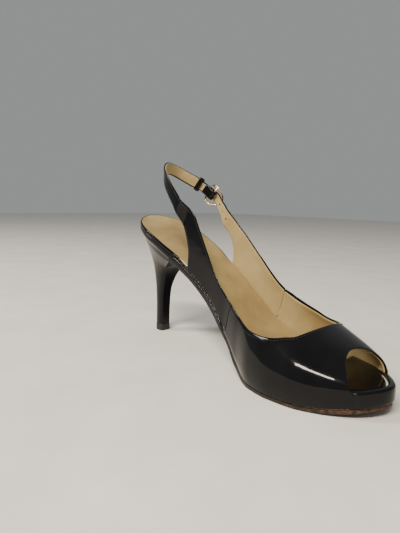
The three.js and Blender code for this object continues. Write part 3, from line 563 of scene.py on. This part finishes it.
def patent_leather():
    """Patent leather: dyed calf under a clear lacquer, near-black with a wet, slightly wavy gloss."""
    material, tree, shader = new_material("patent_leather_black", {
        "Specular IOR Level": 0.05, "IOR": 1.5, "Coat Weight": 0.42, "Coat Roughness": 0.03,
        "Coat IOR": 1.42})
    space = object_space(tree)
    cloud = add_node(tree, "ShaderNodeTexNoise", {"Scale": per_mm(22), "Detail": 3.0}, {"Vector": space})
    dust = add_node(tree, "ShaderNodeTexNoise", {"Scale": per_mm(0.9), "Detail": 4.0, "Roughness": 0.7},
                    {"Vector": space})
    smear = ramp(tree, cloud.outputs["Fac"], [(0.35, grey(0.10)), (0.7, grey(0.22))])
    speck = ramp(tree, dust.outputs["Fac"], [(0.62, grey(0.0)), (0.78, grey(0.25))])
    rough = add_node(tree, "ShaderNodeMix", {"data_type": "RGBA", "blend_type": "ADD", "Factor": 1.0},
                     {6: smear, 7: speck})
    tree.links.new(rough.outputs[2], shader.inputs["Roughness"])
    colour = ramp(tree, cloud.outputs["Fac"], [(0.3, "#08080a"), (0.75, "#111114")])
    tree.links.new(colour, shader.inputs["Base Color"])
    wave = add_node(tree, "ShaderNodeTexNoise", {"Scale": per_mm(9), "Detail": 2.0}, {"Vector": space})
    bump = add_node(tree, "ShaderNodeBump", {"Strength": 0.16, "Distance": 0.0006},
                    {"Height": wave.outputs["Fac"]})
    tree.links.new(bump.outputs["Normal"], shader.inputs["Normal"])
    tree.links.new(bump.outputs["Normal"], shader.inputs["Coat Normal"])
    return material


def lining_leather(name, light, dark, worn):
    """Undyed lining calf: matte, finely grained, darkened where it has been worn."""
    material, tree, shader = new_material(name, {
        "Roughness": 0.58, "Specular IOR Level": 0.35, "Sheen Weight": 0.08, "Sheen Roughness": 0.5})
    space = object_space(tree)
    blotch = add_node(tree, "ShaderNodeTexNoise", {"Scale": per_mm(30), "Detail": 4.0, "Roughness": 0.6},
                      {"Vector": space})
    grain = add_node(tree, "ShaderNodeTexVoronoi", {"Scale": per_mm(0.8)}, {"Vector": space})
    pores = add_node(tree, "ShaderNodeTexNoise", {"Scale": per_mm(0.5), "Detail": 3.0}, {"Vector": space})
    base = ramp(tree, blotch.outputs["Fac"], [(0.3, dark), (0.7, light)])
    stain = add_node(tree, "ShaderNodeTexNoise", {"Scale": per_mm(55), "Detail": 5.0, "Distortion": 0.6},
                     {"Vector": space})
    mask = ramp(tree, stain.outputs["Fac"], [(0.48, grey(0.0)), (0.68, grey(0.65))])
    tinted = add_node(tree, "ShaderNodeMix", {"data_type": "RGBA", "blend_type": "MIX", 7: linear(worn)},
                      {0: mask, 6: base})
    fleck = ramp(tree, pores.outputs["Fac"], [(0.35, grey(0.86)), (0.6, grey(1.0))])
    final = add_node(tree, "ShaderNodeMix", {"data_type": "RGBA", "blend_type": "MULTIPLY", "Factor": 1.0},
                     {6: tinted.outputs[2], 7: fleck})
    tree.links.new(final.outputs[2], shader.inputs["Base Color"])
    bump = add_node(tree, "ShaderNodeBump", {"Strength": 0.25, "Distance": 0.0002},
                    {"Height": grain.outputs["Distance"]})
    tree.links.new(bump.outputs["Normal"], shader.inputs["Normal"])
    return material


def plain_noise(name, low, high, size, settings, bump_mm=0.1, rough=None):
    """A solid whose colour wavers between two tones, with a fine matching relief."""
    material, tree, shader = new_material(name, settings)
    space = object_space(tree)
    noise = add_node(tree, "ShaderNodeTexNoise", {"Scale": per_mm(size), "Detail": 5.0, "Roughness": 0.6},
                     {"Vector": space})
    tree.links.new(ramp(tree, noise.outputs["Fac"], [(0.32, low), (0.7, high)]), shader.inputs["Base Color"])
    if rough:
        tree.links.new(ramp(tree, noise.outputs["Fac"], [(0.3, grey(rough[0])), (0.7, grey(rough[1]))]),
                       shader.inputs["Roughness"])
    bump = add_node(tree, "ShaderNodeBump", {"Strength": 0.4, "Distance": bump_mm / 1000},
                    {"Height": noise.outputs["Fac"]})
    tree.links.new(bump.outputs["Normal"], shader.inputs["Normal"])
    return material


def sole_edge_leather():
    """Dyed sole leather: a dark brown-black edge, rubbed through to brown towards the toe."""
    material, tree, shader = new_material("sole_leather_dyed", {"Specular IOR Level": 0.4})
    space = object_space(tree)
    axes = add_node(tree, "ShaderNodeSeparateXYZ", links={"Vector": space})
    noise = add_node(tree, "ShaderNodeTexNoise", {"Scale": per_mm(3), "Detail": 6.0, "Roughness": 0.7},
                     {"Vector": space})
    fore = add_node(tree, "ShaderNodeMapRange", {"From Min": 0.03, "From Max": 0.11, "To Min": -0.12,
                                                 "To Max": 0.16}, {"Value": axes.outputs["X"]})
    total = add_node(tree, "ShaderNodeMath", {"operation": "ADD"}, {0: noise.outputs["Fac"],
                                                                    1: fore.outputs["Result"]})
    colour = ramp(tree, total.outputs[0], [(0.52, "#15100d"), (0.66, "#4a3020"), (0.8, "#6b4a30")])
    tree.links.new(colour, shader.inputs["Base Color"])
    tree.links.new(ramp(tree, total.outputs[0], [(0.4, grey(0.35)), (0.7, grey(0.7))]),
                   shader.inputs["Roughness"])
    bump = add_node(tree, "ShaderNodeBump", {"Strength": 0.35, "Distance": 0.0002},
                    {"Height": noise.outputs["Fac"]})
    tree.links.new(bump.outputs["Normal"], shader.inputs["Normal"])
    return material


def gold_plate():
    """Pale gold electroplate, polished, a little dulled by handling."""
    material, tree, shader = new_material("gold_plate_pale", {
        "Base Color": linear("#d8c496"), "Metallic": 1.0})
    noise = add_node(tree, "ShaderNodeTexNoise", {"Scale": per_mm(4), "Detail": 4.0},
                     {"Vector": object_space(tree)})
    tree.links.new(ramp(tree, noise.outputs["Fac"], [(0.3, grey(0.14)), (0.7, grey(0.32))]),
                   shader.inputs["Roughness"])
    tree.links.new(ramp(tree, noise.outputs["Fac"], [(0.3, "#c9b383"), (0.7, "#dfcda4")]),
                   shader.inputs["Base Color"])
    return material


PATENT = patent_leather()
TAN = lining_leather("lining_calf_tan", "#bda877", "#a8915f", "#88703f")
SOCK_TAN = lining_leather("sock_calf_tan", "#a8925f", "#907848", "#6c5430")
SOLE = sole_edge_leather()
GOLD = gold_plate()
THREAD = plain_noise("waxed_thread_black", "#1a1a1c", "#2c2c30", 0.4, {"Roughness": 0.45}, 0.05)
RUBBER = plain_noise("tip_rubber_black", "#131315", "#1f1f22", 1.0, {"Roughness": 0.6}, 0.1)
STEEL = plain_noise("spring_steel_brushed", "#85868a", "#a3a4a6", 2.0, {"Metallic": 1.0}, 0.02, (0.28, 0.45))
FIBRE = plain_noise("cellulose_board_brown", "#6d5236", "#8f7150", 1.2, {"Roughness": 0.85}, 0.1)
FOAM = plain_noise("latex_foam_cream", "#cfc6b0", "#e2dac6", 0.8, {"Roughness": 0.95}, 0.2)
CORK = plain_noise("granulated_cork", "#a98452", "#cda974", 2.2, {"Roughness": 0.9}, 0.2)
HEEL_ABS = plain_noise("moulded_abs_black", "#1b1b1d", "#252528", 3.0, {"Roughness": 0.42}, 0.03)


# ---------------------------------------------------------------- upper
def panel_grid(lower, upper, columns, rows, depth, inset=0.0, puff=0.0):
    def place(u, v):
        a, b = lower(u), upper(u)
        height = math.hypot(b.x - a.x, (b.y - a.y) * ANGLE_MM)
        share = v * (1 - inset / height)
        p = a.lerp(b, share)
        return in_upper(p.x, p.y, depth - puff * math.sin(math.pi * v))

    return face_out(bend_grid(columns, rows, place), foot_axis)


def make_vamp():
    outer = new_object("vamp_patent", panel_grid(vamp_low, vamp_top, 112, 16, 0))
    finish_piece(thicken(outer, LEATHER), PATENT, "shoe", ["vamp"])
    inner = new_object("vamp_lining_calf",
                       panel_grid(lining_low, vamp_top, 84, 12, LEATHER + FACE_GAP, EDGE_SHOW))
    finish_piece(thicken(inner, LINING + 2 * GAP), TAN, "shoe", ["vamp_lining"])


TURN_LENGTH = 16.0
QUARTER_SHARE = 90
FACE_GAP = 0.05
LINING_INSET = 0.8
EDGE_SHOW = 0.9


def joined_strip(side, drop, foot, depth, low, finish_arc, lift, inset):
    """A quarter and the strap that grows out of it, as one strip: u along it, v from rear to front."""
    lower, upper = quarter_edges(side, drop, foot)
    root = 0.0 if side < 0 else LOOP.length
    reach = abs(finish_arc(0) - root)
    quarter_share = QUARTER_SHARE / (QUARTER_SHARE + reach)

    def place(u, v):
        if u <= quarter_share:
            q = u / quarter_share
            a, b = lower(q), upper(q)
            height = math.hypot(b.x - a.x, (b.y - a.y) * ANGLE_MM)
            p = a.lerp(b, mix(inset / height if q > STRAP_BREAK else 0, 1 - inset / height, v))
            return in_upper(p.x, p.y, depth)
        share = (u - quarter_share) / (1 - quarter_share)
        y = 1 - 2 * v
        s = mix(root, finish_arc(y), share)
        width = strap_width(s) / 2
        on_loop = on_strap(s, y * (1 - inset / width), low + lift(s))
        gone = abs(s - root)
        if gone > TURN_LENGTH:
            return on_loop
        x, z = STRAP_JOINT[side]
        aim_x, aim_z = STRAP_AIM[side]
        half = (2 * v - 1) * (width - inset)
        p = wall(side, x + aim_x * gone + half * aim_z, z + aim_z * gone - half * aim_x)
        return in_upper(p.x, p.y, depth).lerp(on_loop, ease(gone, 0, TURN_LENGTH))

    return place


def seam_foot(side):
    """The quarter's lowest corner, on the seam, where the rand's top edge meets it."""
    corner = rim(side, SEAM_LOW, RIM_DROP)
    return Vector((seam_station(side, corner.y), corner.y))


def make_quarter(side, name):
    patent_foot = seam_foot(side)
    lining_foot = lining_side[side][0]
    flat = lambda s: 0.0
    if side < 0:
        end = lambda y: BUCKLE - 3.4
        lift = flat
        nodes = ["medial_quarter", "back_strap"]
        inner_nodes = ["medial_quarter_lining", "back_strap_lining"]
    else:
        end = lambda y: BUCKLE - TAIL_LENGTH + 5 * abs(y) ** 1.6
        lift = tail_lift
        nodes = ["lateral_quarter", "front_strap"]
        inner_nodes = ["lateral_quarter_lining", "front_strap_lining"]
    outside = joined_strip(side, RIM_DROP, patent_foot, 0, LEATHER - FACE_GAP, end, lift, 0)
    inside = joined_strip(side, LINING_DROP, lining_foot, LEATHER + FACE_GAP, -0.1, end, lift, LINING_INSET)
    outer = new_object(f"{name}_patent", face_out(bend_grid(150, 10, outside), sling_axis))
    inner = new_object(f"{name}_lining_calf", face_out(bend_grid(130, 8, inside), sling_axis))
    thicken(outer, LEATHER)
    thicken(inner, LINING + 0.25)
    if side > 0:
        cut_away(outer, hole_cutters())
        cut_away(inner, hole_cutters())
    start, stop = strap_bend(side)
    finish_piece(outer, PATENT, None, nodes)
    finish_piece(inner, TAN, None, inner_nodes)
    for piece in (outer, inner):
        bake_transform(apply_modifiers(piece))


def sling_axis(p):
    if p.z < 92:
        return foot_axis(p)
    return Vector((52, 0, p.z))


def strap_bend(side):
    """The stretch over which the leather turns from the shoe to the sling, straight up through the joint."""
    root = strap_root(side)
    low, high = root.copy(), root.copy()
    low.z -= 7
    high.z += 7
    return tuple(metres(low)), tuple(metres(high))


PRONG_HOLE = 1.9
HOLE_COUNT = 4
USED_HOLE_RADIUS = 1.5
HOLE_RADIUS = 1.0
PUNCH_REACH = 3


def hole_cutters():
    cutters = []
    for i in range(HOLE_COUNT):
        s = BUCKLE + PRONG_HOLE + HOLE_PITCH * i
        origin, _, outward, _ = loop_frame(s)
        middle = origin + outward * tail_lift(s)
        ends = [middle - outward * PUNCH_REACH, middle + outward * PUNCH_REACH]
        cutters.append(tube(f"punch_{i}", ends, USED_HOLE_RADIUS if i == 0 else HOLE_RADIUS, 16))
    return cutters


def make_upper():
    make_vamp()
    make_quarter(-1, "medial_quarter")
    make_quarter(1, "lateral_quarter")


# ---------------------------------------------------------------- stitches
def stitch_row(bm, points, normals, pitch, length, radius):
    """Raised stitches laid along a polyline in millimetres."""
    travelled, due = 0.0, pitch / 2
    for i in range(len(points) - 1):
        a, b = points[i], points[i + 1]
        span = (b - a).length
        while due <= travelled + span and span > 0:
            share = (due - travelled) / span
            along = (b - a).normalized()
            up = normals[i].lerp(normals[i + 1], share).normalized()
            across = up.cross(along).normalized()
            up = along.cross(across)
            turn = Matrix((along, across, up)).transposed().to_4x4()
            size = Matrix.Diagonal((length / 2000, radius / 1000, radius / 1000, 1))
            place = Matrix.Translation(metres(a.lerp(b, share) + up * radius * 0.25)) @ turn @ size
            bmesh.ops.create_icosphere(bm, subdivisions=1, radius=1, matrix=place)
            due += pitch
        travelled += span


STITCH = {"pitch": 1.9, "length": 1.5, "radius": 0.2}
STITCH_INSET = 1.5


def upper_stitches(bm, edge, inward, start=0.0, end=1.0, count=160):
    points, normals = [], []
    for i in range(count + 1):
        u = mix(start, end, i / count)
        p, q = edge(u), inward(u)
        height = math.hypot(q.x - p.x, (q.y - p.y) * ANGLE_MM)
        place = p.lerp(q, STITCH_INSET / height)
        points.append(on_upper(place.x, place.y))
        normals.append(upper_normal(place.x, place.y))
    stitch_row(bm, points, normals, **STITCH)


def strap_stitches(bm, start, end, lift):
    for side in (-1, 1):
        points, normals = [], []
        for i in range(121):
            s = mix(start, end, i / 120)
            y = side * (1 - STITCH_INSET / (strap_width(s) / 2))
            points.append(on_strap(s, y, LEATHER - 0.05 + lift(s)))
            normals.append(loop_frame(s)[2])
        stitch_row(bm, points, normals, **STITCH)


def make_stitches():
    bm = bmesh.new()
    upper_stitches(bm, vamp_top, vamp_low, count=260)
    finish_piece(new_object("topline_stitches", bm), THREAD, "shoe", [])
    for side, name in ((-1, "medial"), (1, "lateral")):
        lower, upper = quarter_edges(side, RIM_DROP, seam_foot(side))
        bm = bmesh.new()
        upper_stitches(bm, upper, lower)
        upper_stitches(bm, lower, upper, STRAP_BREAK)
        if side < 0:
            strap_stitches(bm, 1, BUCKLE - 5, lambda s: 0.0)
        else:
            strap_stitches(bm, LOOP.length - 1, BUCKLE - TAIL_LENGTH + 6, tail_lift)
        piece = finish_piece(new_object(f"{name}_strap_stitches", bm), THREAD, None, [])
        start, stop = strap_bend(side)
        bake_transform(piece)


# ---------------------------------------------------------------- under the foot
def slab_grid(start_x, end_x, out, height, columns, rows=12):
    start, end = station_of(start_x), station_of(end_x)

    def place(u, v):
        t = mix(start, end, u)
        move = out(station_x(t))
        left, right = outline(-1, t, move), outline(1, t, move)
        x = mix(left.x, right.x, v)
        return Vector((x, mix(left.y, right.y, v), height(x, 2 * v - 1)))

    bm = bend_grid(columns, rows, place)
    return face_out(bm, lambda p: p - Vector((0, 0, 1)))


def round_edges(obj, size, segments=3):
    bevel = obj.modifiers.new("round", "BEVEL")
    bevel.width = size / 1000
    bevel.segments = segments
    bevel.limit_method = "ANGLE"
    bevel.angle_limit = math.radians(40)
    return obj


def slab(obj, thickness, size):
    solid = obj.modifiers.new("thickness", "SOLIDIFY")
    solid.thickness = thickness / 1000
    solid.offset = -1
    return round_edges(obj, size)


def dished(x, v):
    """The footbed, pressed down a little under the heel and the ball."""
    heel = 0.9 * ease(x, 2, 20) * (1 - ease(x, 45, 80))
    ball = 0.5 * ease(x, 125, 150) * (1 - ease(x, 180, 200))
    return footbed(x) - (heel + ball) * (1 - v * v)


def sock_out(x):
    return mix(-0.45, LINED - 0.25, ease(x, 55, 68)) - 2.3 * ease(x, 204, 211)


def make_footbed():
    sock = new_object("sock_calf", slab_grid(0.15, 178, sock_out, dished, 120))
    finish_piece(slab(sock, SOCK, 0.4), SOCK_TAN, "shoe", ["sock_lining"])
    toe = new_object("toe_sock_patent", slab_grid(178.2, LENGTH - 0.15, sock_out, dished, 50))
    finish_piece(slab(toe, SOCK, 0.3), PATENT, "shoe", ["toe_sock"])
    sole = new_object("outsole_leather", slab_grid(
        53.8, LENGTH - 0.15, lambda x: -0.5, lambda x, v: underside(x) + OUTSOLE, 120))
    finish_piece(slab(sole, OUTSOLE, 0.55), SOLE, "shoe", ["outsole"])


def rand_profile():
    """The band's section, v from its foot to its rolled top: (rise 0 to 1, out in mm)."""
    return Path([Vector(p) for p in (
        (0, -0.3), (0.04, 0.1), (0.3, 0.25), (0.5, 0.28), (0.56, 0.02), (0.62, 0.28), (0.8, 0.3),
        (0.93, 0.2), (1.0, -0.25), (1.0, -1.0))], fine=12)


def make_rand():
    profile = rand_profile()
    end = station_of(SEAM_LOW + 2.5)

    def place(u, v):
        way = mix(-end, end, u)
        x = station_x(abs(way))
        step = profile.at(v)
        tuck = (LEATHER + 0.3) * ease(x, SEAM_LOW - 1.5, SEAM_LOW + 0.5)
        drop = (RIM_DROP + 2 * GAP) * ease(x, 58, QUARTER_BACK - 1)
        p = outline(-1 if way < 0 else 1, abs(way), SKIN_OUT - GAP - 0.3 + step.y - tuck)
        return Vector((p.x, p.y, footbed(p.x) - mix(RAND_HEIGHT, drop, step.x)))

    band = new_object("seat_rand_patent", face_out(bend_grid(180, 26, place), foot_axis))
    finish_piece(thicken(band, 0.45, levels=1), PATENT, "shoe", ["seat_rand"])


UNDERLAP = 5.0


def make_platform_front():
    profile = Path([Vector(p) for p in (
        (0, -0.25), (0.05, 0.0), (0.45, 0.05), (0.8, 0.0), (0.93, -0.35), (1.0, -1.3), (1.02, -2.6),
        (0.98, -4.2))], fine=12)

    def place(u, v):
        step = profile.at(v)
        h = min(step.x, 1)
        medial = 1 - station_of(214.9 - 3 * h - UNDERLAP)
        lateral = 1 - station_of(214.0 - 4.0 * h - UNDERLAP)
        way = mix(-medial, lateral, u)
        seen = 1 - station_of((214.6 if way < 0 else 213.6) - 3.2 * h)
        tuck = (LEATHER + 0.25) * ease(abs(way) - seen, -0.002, 0.012)
        q = outline(-1 if way < 0 else 1, 1 - abs(way), SKIN_OUT + step.y - tuck)
        low = underside(min(q.x, LENGTH)) + OUTSOLE + GAP
        return Vector((q.x, q.y, mix(low, footbed(min(q.x, LENGTH)), step.x)))

    front = new_object("platform_front_patent", face_out(
        bend_grid(60, 20, place), lambda p: Vector((195, -5, 5))))
    finish_piece(thicken(front, 0.8, levels=1), PATENT, "shoe", ["platform_front"])


# ---------------------------------------------------------------- heel
HEEL = [
    ((0.6, 93.2), (53, 69.7), 26.2, 1), ((2.6, 86), (47, 65.5), 21.2, 0.7),
    ((4.4, 78), (39, 61.5), 16.6, 0.4), ((6.3, 68), (32, 57.5), 12.4, 0.2),
    ((8, 58), (27, 51.5), 9.2, 0.1), ((9, 47), (23.8, 44.5), 7.2, 0),
    ((9.6, 36), (21.3, 36), 5.8, 0), ((9.8, 20), (20.2, 20), 5.1, 0), ((9.6, 5.8), (20, 5.8), 5.0, 0)]
heel_curves = [monotone(list(enumerate(values))) for values in (
    [h[0][0] for h in HEEL], [h[0][1] for h in HEEL], [h[1][0] for h in HEEL], [h[1][1] for h in HEEL],
    [h[2] for h in HEEL], [h[3] for h in HEEL])]
d_length = monotone([
    (0, 0), (0.1, 0.02), (0.2, 0.09), (0.3, 0.22), (0.4, 0.42), (0.5, 0.64), (0.6, 0.83), (0.7, 0.95),
    (0.78, 1), (1, 1)])


def d_width(a, square):
    return monotone([
        (0, 0), (0.1, 0.33), (0.2, 0.6), (0.3, 0.83), (0.4, 0.96), (0.5, 1), (0.6, 0.97),
        (0.7, mix(0.84, 0.96, square)), (0.78, mix(0.68, 0.95, square)), (1, 0)])(a)


def heel_point(row, around, inset=0.0):
    back_x, back_z, front_x, front_z, half, square = (curve(row) for curve in heel_curves)
    side = -1 if around < 0 else 1
    share = d_length(abs(around))
    x = mix(back_x + inset, front_x - inset, share)
    y = side * (half - inset) * d_width(abs(around), square)
    slope = mix(back_z, front_z, share)
    top = footbed(x) - STACK - GAP
    return Vector((x, y, mix(top, slope, clamp(row / 1.2) ** 0.8)))


def make_heel():
    rows = len(HEEL) - 1

    def place(u, v):
        return heel_point(v * rows, 2 * u - 1)

    cover = new_object("heel_cover_patent", face_out(
        bend_grid(72, 64, place, closed=True), lambda p: Vector((mix(15, 24, ease(p.z, 40, 90)), 0, p.z))))
    finish_piece(thicken(cover, 0.8, levels=1), PATENT, "shoe", ["heel_cover"])

    bm = bmesh.new()
    bmesh.ops.create_circle(bm, cap_ends=True, segments=56, radius=1)
    for v in bm.verts:
        p = heel_point(rows, math.atan2(v.co.y, v.co.x) / math.pi, -0.15)
        v.co = metres((p.x, p.y, TIP_HEIGHT + 0.25))
    lift = bmesh.ops.extrude_face_region(bm, geom=bm.faces[:])
    foot = [e for e in lift["geom"] if isinstance(e, bmesh.types.BMVert)]
    bmesh.ops.translate(bm, verts=foot, vec=(0, 0, -(TIP_HEIGHT + 0.25) / 1000))
    bmesh.ops.recalc_face_normals(bm, faces=bm.faces)
    tip = new_object("heel_tip_rubber", bm)
    finish_piece(round_edges(tip, 0.35), RUBBER, "shoe", ["heel_tip"])


# ---------------------------------------------------------------- buckle and keeper
def buckle_place(p):
    origin, along, outward, across = loop_frame(BUCKLE)
    return origin + along * p[0] + across * p[1] + outward * p[2]


def follow_loop(s, y, z):
    origin, _, outward, across = loop_frame(s)
    return origin + across * y + outward * z


def make_buckle():
    def place(u, v):
        turn, section = 2 * math.pi * u, 2 * math.pi * v
        radius = RING_RADIUS + RING_WIRE * 1.05 * math.cos(section)
        rise = RING_RISE * math.cos(turn) ** 2 + RING_WIRE * 0.8 * math.sin(section)
        return buckle_place((radius * math.cos(turn), radius * math.sin(turn), rise))

    ring = new_object("ring_hoop", bend_grid(96, 16, place, closed=True))
    reach = RING_RADIUS
    bar = tube("ring_bar", [buckle_place((0, y, 0)) for y in (-reach, -reach / 2, 0, reach / 2, reach)],
               BAR_RADIUS, 16)
    piece = joined([ring, bar], "buckle_ring_gold")
    tidy_normals(piece)
    finish_piece(piece, GOLD, "ring", ["buckle_ring"])

    sweep = Path([Vector(p) for p in (
        (0.6, 0, 1.2), (1.3, 0, 2.3), (2.1, 0, 3.9), (3.4, 0, 5.6), (5.6, 0, 6.8), (8.0, 0, 7.2),
        (9.3, 0, 7.15))], even=False)
    shaft = tube("prong_shaft", [buckle_place(sweep.at(i / 24)) for i in range(25)], 0.62, 12)
    collar = tube("prong_collar", [buckle_place((0, y, 0)) for y in (-1.0, 0, 1.0)], BAR_RADIUS + 0.6, 16)
    piece = joined([shaft, collar], "buckle_prong_gold")
    tidy_normals(piece)
    finish_piece(piece, GOLD, "prong", ["buckle_prong"])


def tidy_normals(obj):
    bm = bmesh.new()
    bm.from_mesh(obj.data)
    bmesh.ops.remove_doubles(bm, verts=bm.verts, dist=1e-6)
    bmesh.ops.recalc_face_normals(bm, faces=bm.faces)
    bm.to_mesh(obj.data)
    bm.free()


def make_chape():
    inner = BAR_RADIUS + 0.5
    middle = inner + 0.45
    arc = [(middle * math.sin(a), -middle * math.cos(a)) for a in (math.pi * i / 9 for i in range(10))]
    route = Path([Vector(p) for p in ((-9.5, -middle), (-7, -middle), (-4.5, -middle), (-2, -middle), *arc,
                                      (-1.6, middle - 0.25), (-3.3, 0.55))], fine=8)

    def place(u, v):
        p = route.at(u)
        y = (v - 0.5) * BUCKLE_STRAP_WIDTH
        if p.x >= 0:
            return buckle_place((p.x, y, p.y))
        return follow_loop(BUCKLE + p.x, y, p.y)

    wrap = new_object("chape_patent", bend_grid(48, 8, place))
    thicken(wrap, 0.85, way=0, levels=1)
    slot_cut = tube("slot", [buckle_place((x, 0, 0)) for x in (0.2, 3.4)], 1.35, 12)
    cut_away(wrap, [slot_cut])
    tidy_normals(wrap)
    finish_piece(wrap, PATENT, "sling", ["chape_loop"])


KEEPER_WIDTH = 4


def make_keeper():
    centre = BUCKLE - KEEPER_PLACE
    half = strap_width(centre) / 2 + 0.7
    low, high = -1.75, tail_lift(centre) + 0.95 + 0.7
    corner = 0.7
    loop = []
    for cx, cz, start in ((half, high, 0), (-half, high, 1), (-half, low, 2), (half, low, 3)):
        sx, sz = (1 if cx > 0 else -1), (1 if cz == high else -1)
        for i in range(5):
            a = math.pi / 2 * (start + i / 4)
            loop.append(Vector((cx + corner * (math.cos(a) - sx), cz + corner * (math.sin(a) - sz))))
    loop.append(loop[0].copy())
    path = Path(loop, even=False, fine=6)
    origin, along, outward, across = loop_frame(centre)

    def place(u, v):
        p = path.at(u)
        crown = 0.18 * math.sin(math.pi * v)
        mid = Vector((0, (low + high) / 2))
        out = (p - mid).normalized() * crown
        return origin + along * ((v - 0.5) * KEEPER_WIDTH) + across * (p.x + out.x) + outward * (p.y + out.y)

    bm = bend_grid(72, 6, place, closed=True)
    keeper_heart = origin + outward * (low + high) / 2
    band = new_object("strap_keeper_patent", face_out(bm, lambda p: keeper_heart))
    finish_piece(thicken(band, 0.85, way=1, levels=1), PATENT, "keeper", ["strap_keeper"])


# ---------------------------------------------------------------- inner parts keep their CAD shapes
INNER = {
    "insock_foam": FOAM, "insole_board": FIBRE, "backpart_board": FIBRE, "shank": STEEL,
    "platform_core": CORK, "heel_core": HEEL_ABS, "heel_tube": STEEL, "tip_pin": STEEL,
    "heel_screw": STEEL, "shank_rivet_1": STEEL, "shank_rivet_2": STEEL,
    **{f"heel_nail_{i}": STEEL for i in range(1, 6)}}


def finish_inner_parts():
    for node, material in INNER.items():
        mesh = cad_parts[node].data
        mesh.materials.clear()
        mesh.materials.append(material)


# ---------------------------------------------------------------- floor, light and camera
def make_stage():
    bm = bmesh.new()
    bmesh.ops.create_grid(bm, x_segments=1, y_segments=1, size=3)
    floor = new_object("floor", bm)
    pale = plain_noise("painted_board_pale", "#d9d5cd", "#e6e2da", 60, {"Roughness": 0.55}, 0.05)
    floor.data.materials.append(pale)

    world = bpy.data.worlds.new("studio")
    bpy.context.scene.world = world
    world.use_nodes = True
    world.node_tree.nodes["Background"].inputs["Color"].default_value = linear("#d6d8d8")
    world.node_tree.nodes["Background"].inputs["Strength"].default_value = 0.45


def area_light(name, place, target, size, power, colour):
    light = bpy.data.lights.new(name, "AREA")
    light.shape = "RECTANGLE"
    light.size, light.size_y = size
    light.energy = power
    light.color = linear(colour)[:3]
    lamp = bpy.data.objects.new(name, light)
    lamp.location = place
    lamp.rotation_euler = (Vector(target) - Vector(place)).to_track_quat("-Z", "Y").to_euler()
    bpy.context.scene.collection.objects.link(lamp)


CAMERA_PLACE = (0.2057, -0.2367, 0.113)
CAMERA_TURN = (137.13, 8.37, 1.32)
CAMERA_LENS = 39.83


def make_camera():
    camera = bpy.data.cameras.new("camera")
    camera.sensor_fit = "HORIZONTAL"
    camera.sensor_width = 36
    camera.lens = CAMERA_LENS
    camera.clip_start = 0.01
    obj = bpy.data.objects.new("camera", camera)
    yaw, pitch, roll = (math.radians(angle) for angle in CAMERA_TURN)
    aim = Vector((math.cos(pitch) * math.cos(yaw), math.cos(pitch) * math.sin(yaw), -math.sin(pitch)))
    turn = aim.to_track_quat("-Z", "Y").to_matrix().to_4x4() @ Matrix.Rotation(roll, 4, "Z")
    obj.matrix_world = Matrix.Translation(CAMERA_PLACE) @ turn
    bpy.context.scene.collection.objects.link(obj)
    bpy.context.scene.camera = obj


make_upper()
make_stitches()
make_footbed()
make_rand()
make_platform_front()
make_heel()
make_buckle()
make_chape()
make_keeper()
finish_inner_parts()
make_stage()
area_light("key", (0.35, -0.9, 1.2), (0.03, 0, 0.05), (0.8, 0.16), 34, "#fff4e4")
area_light("window", (-0.8, -0.8, 1.1), (0, 0, 0.05), (0.3, 0.6), 14, "#f6f4ee")
make_camera()
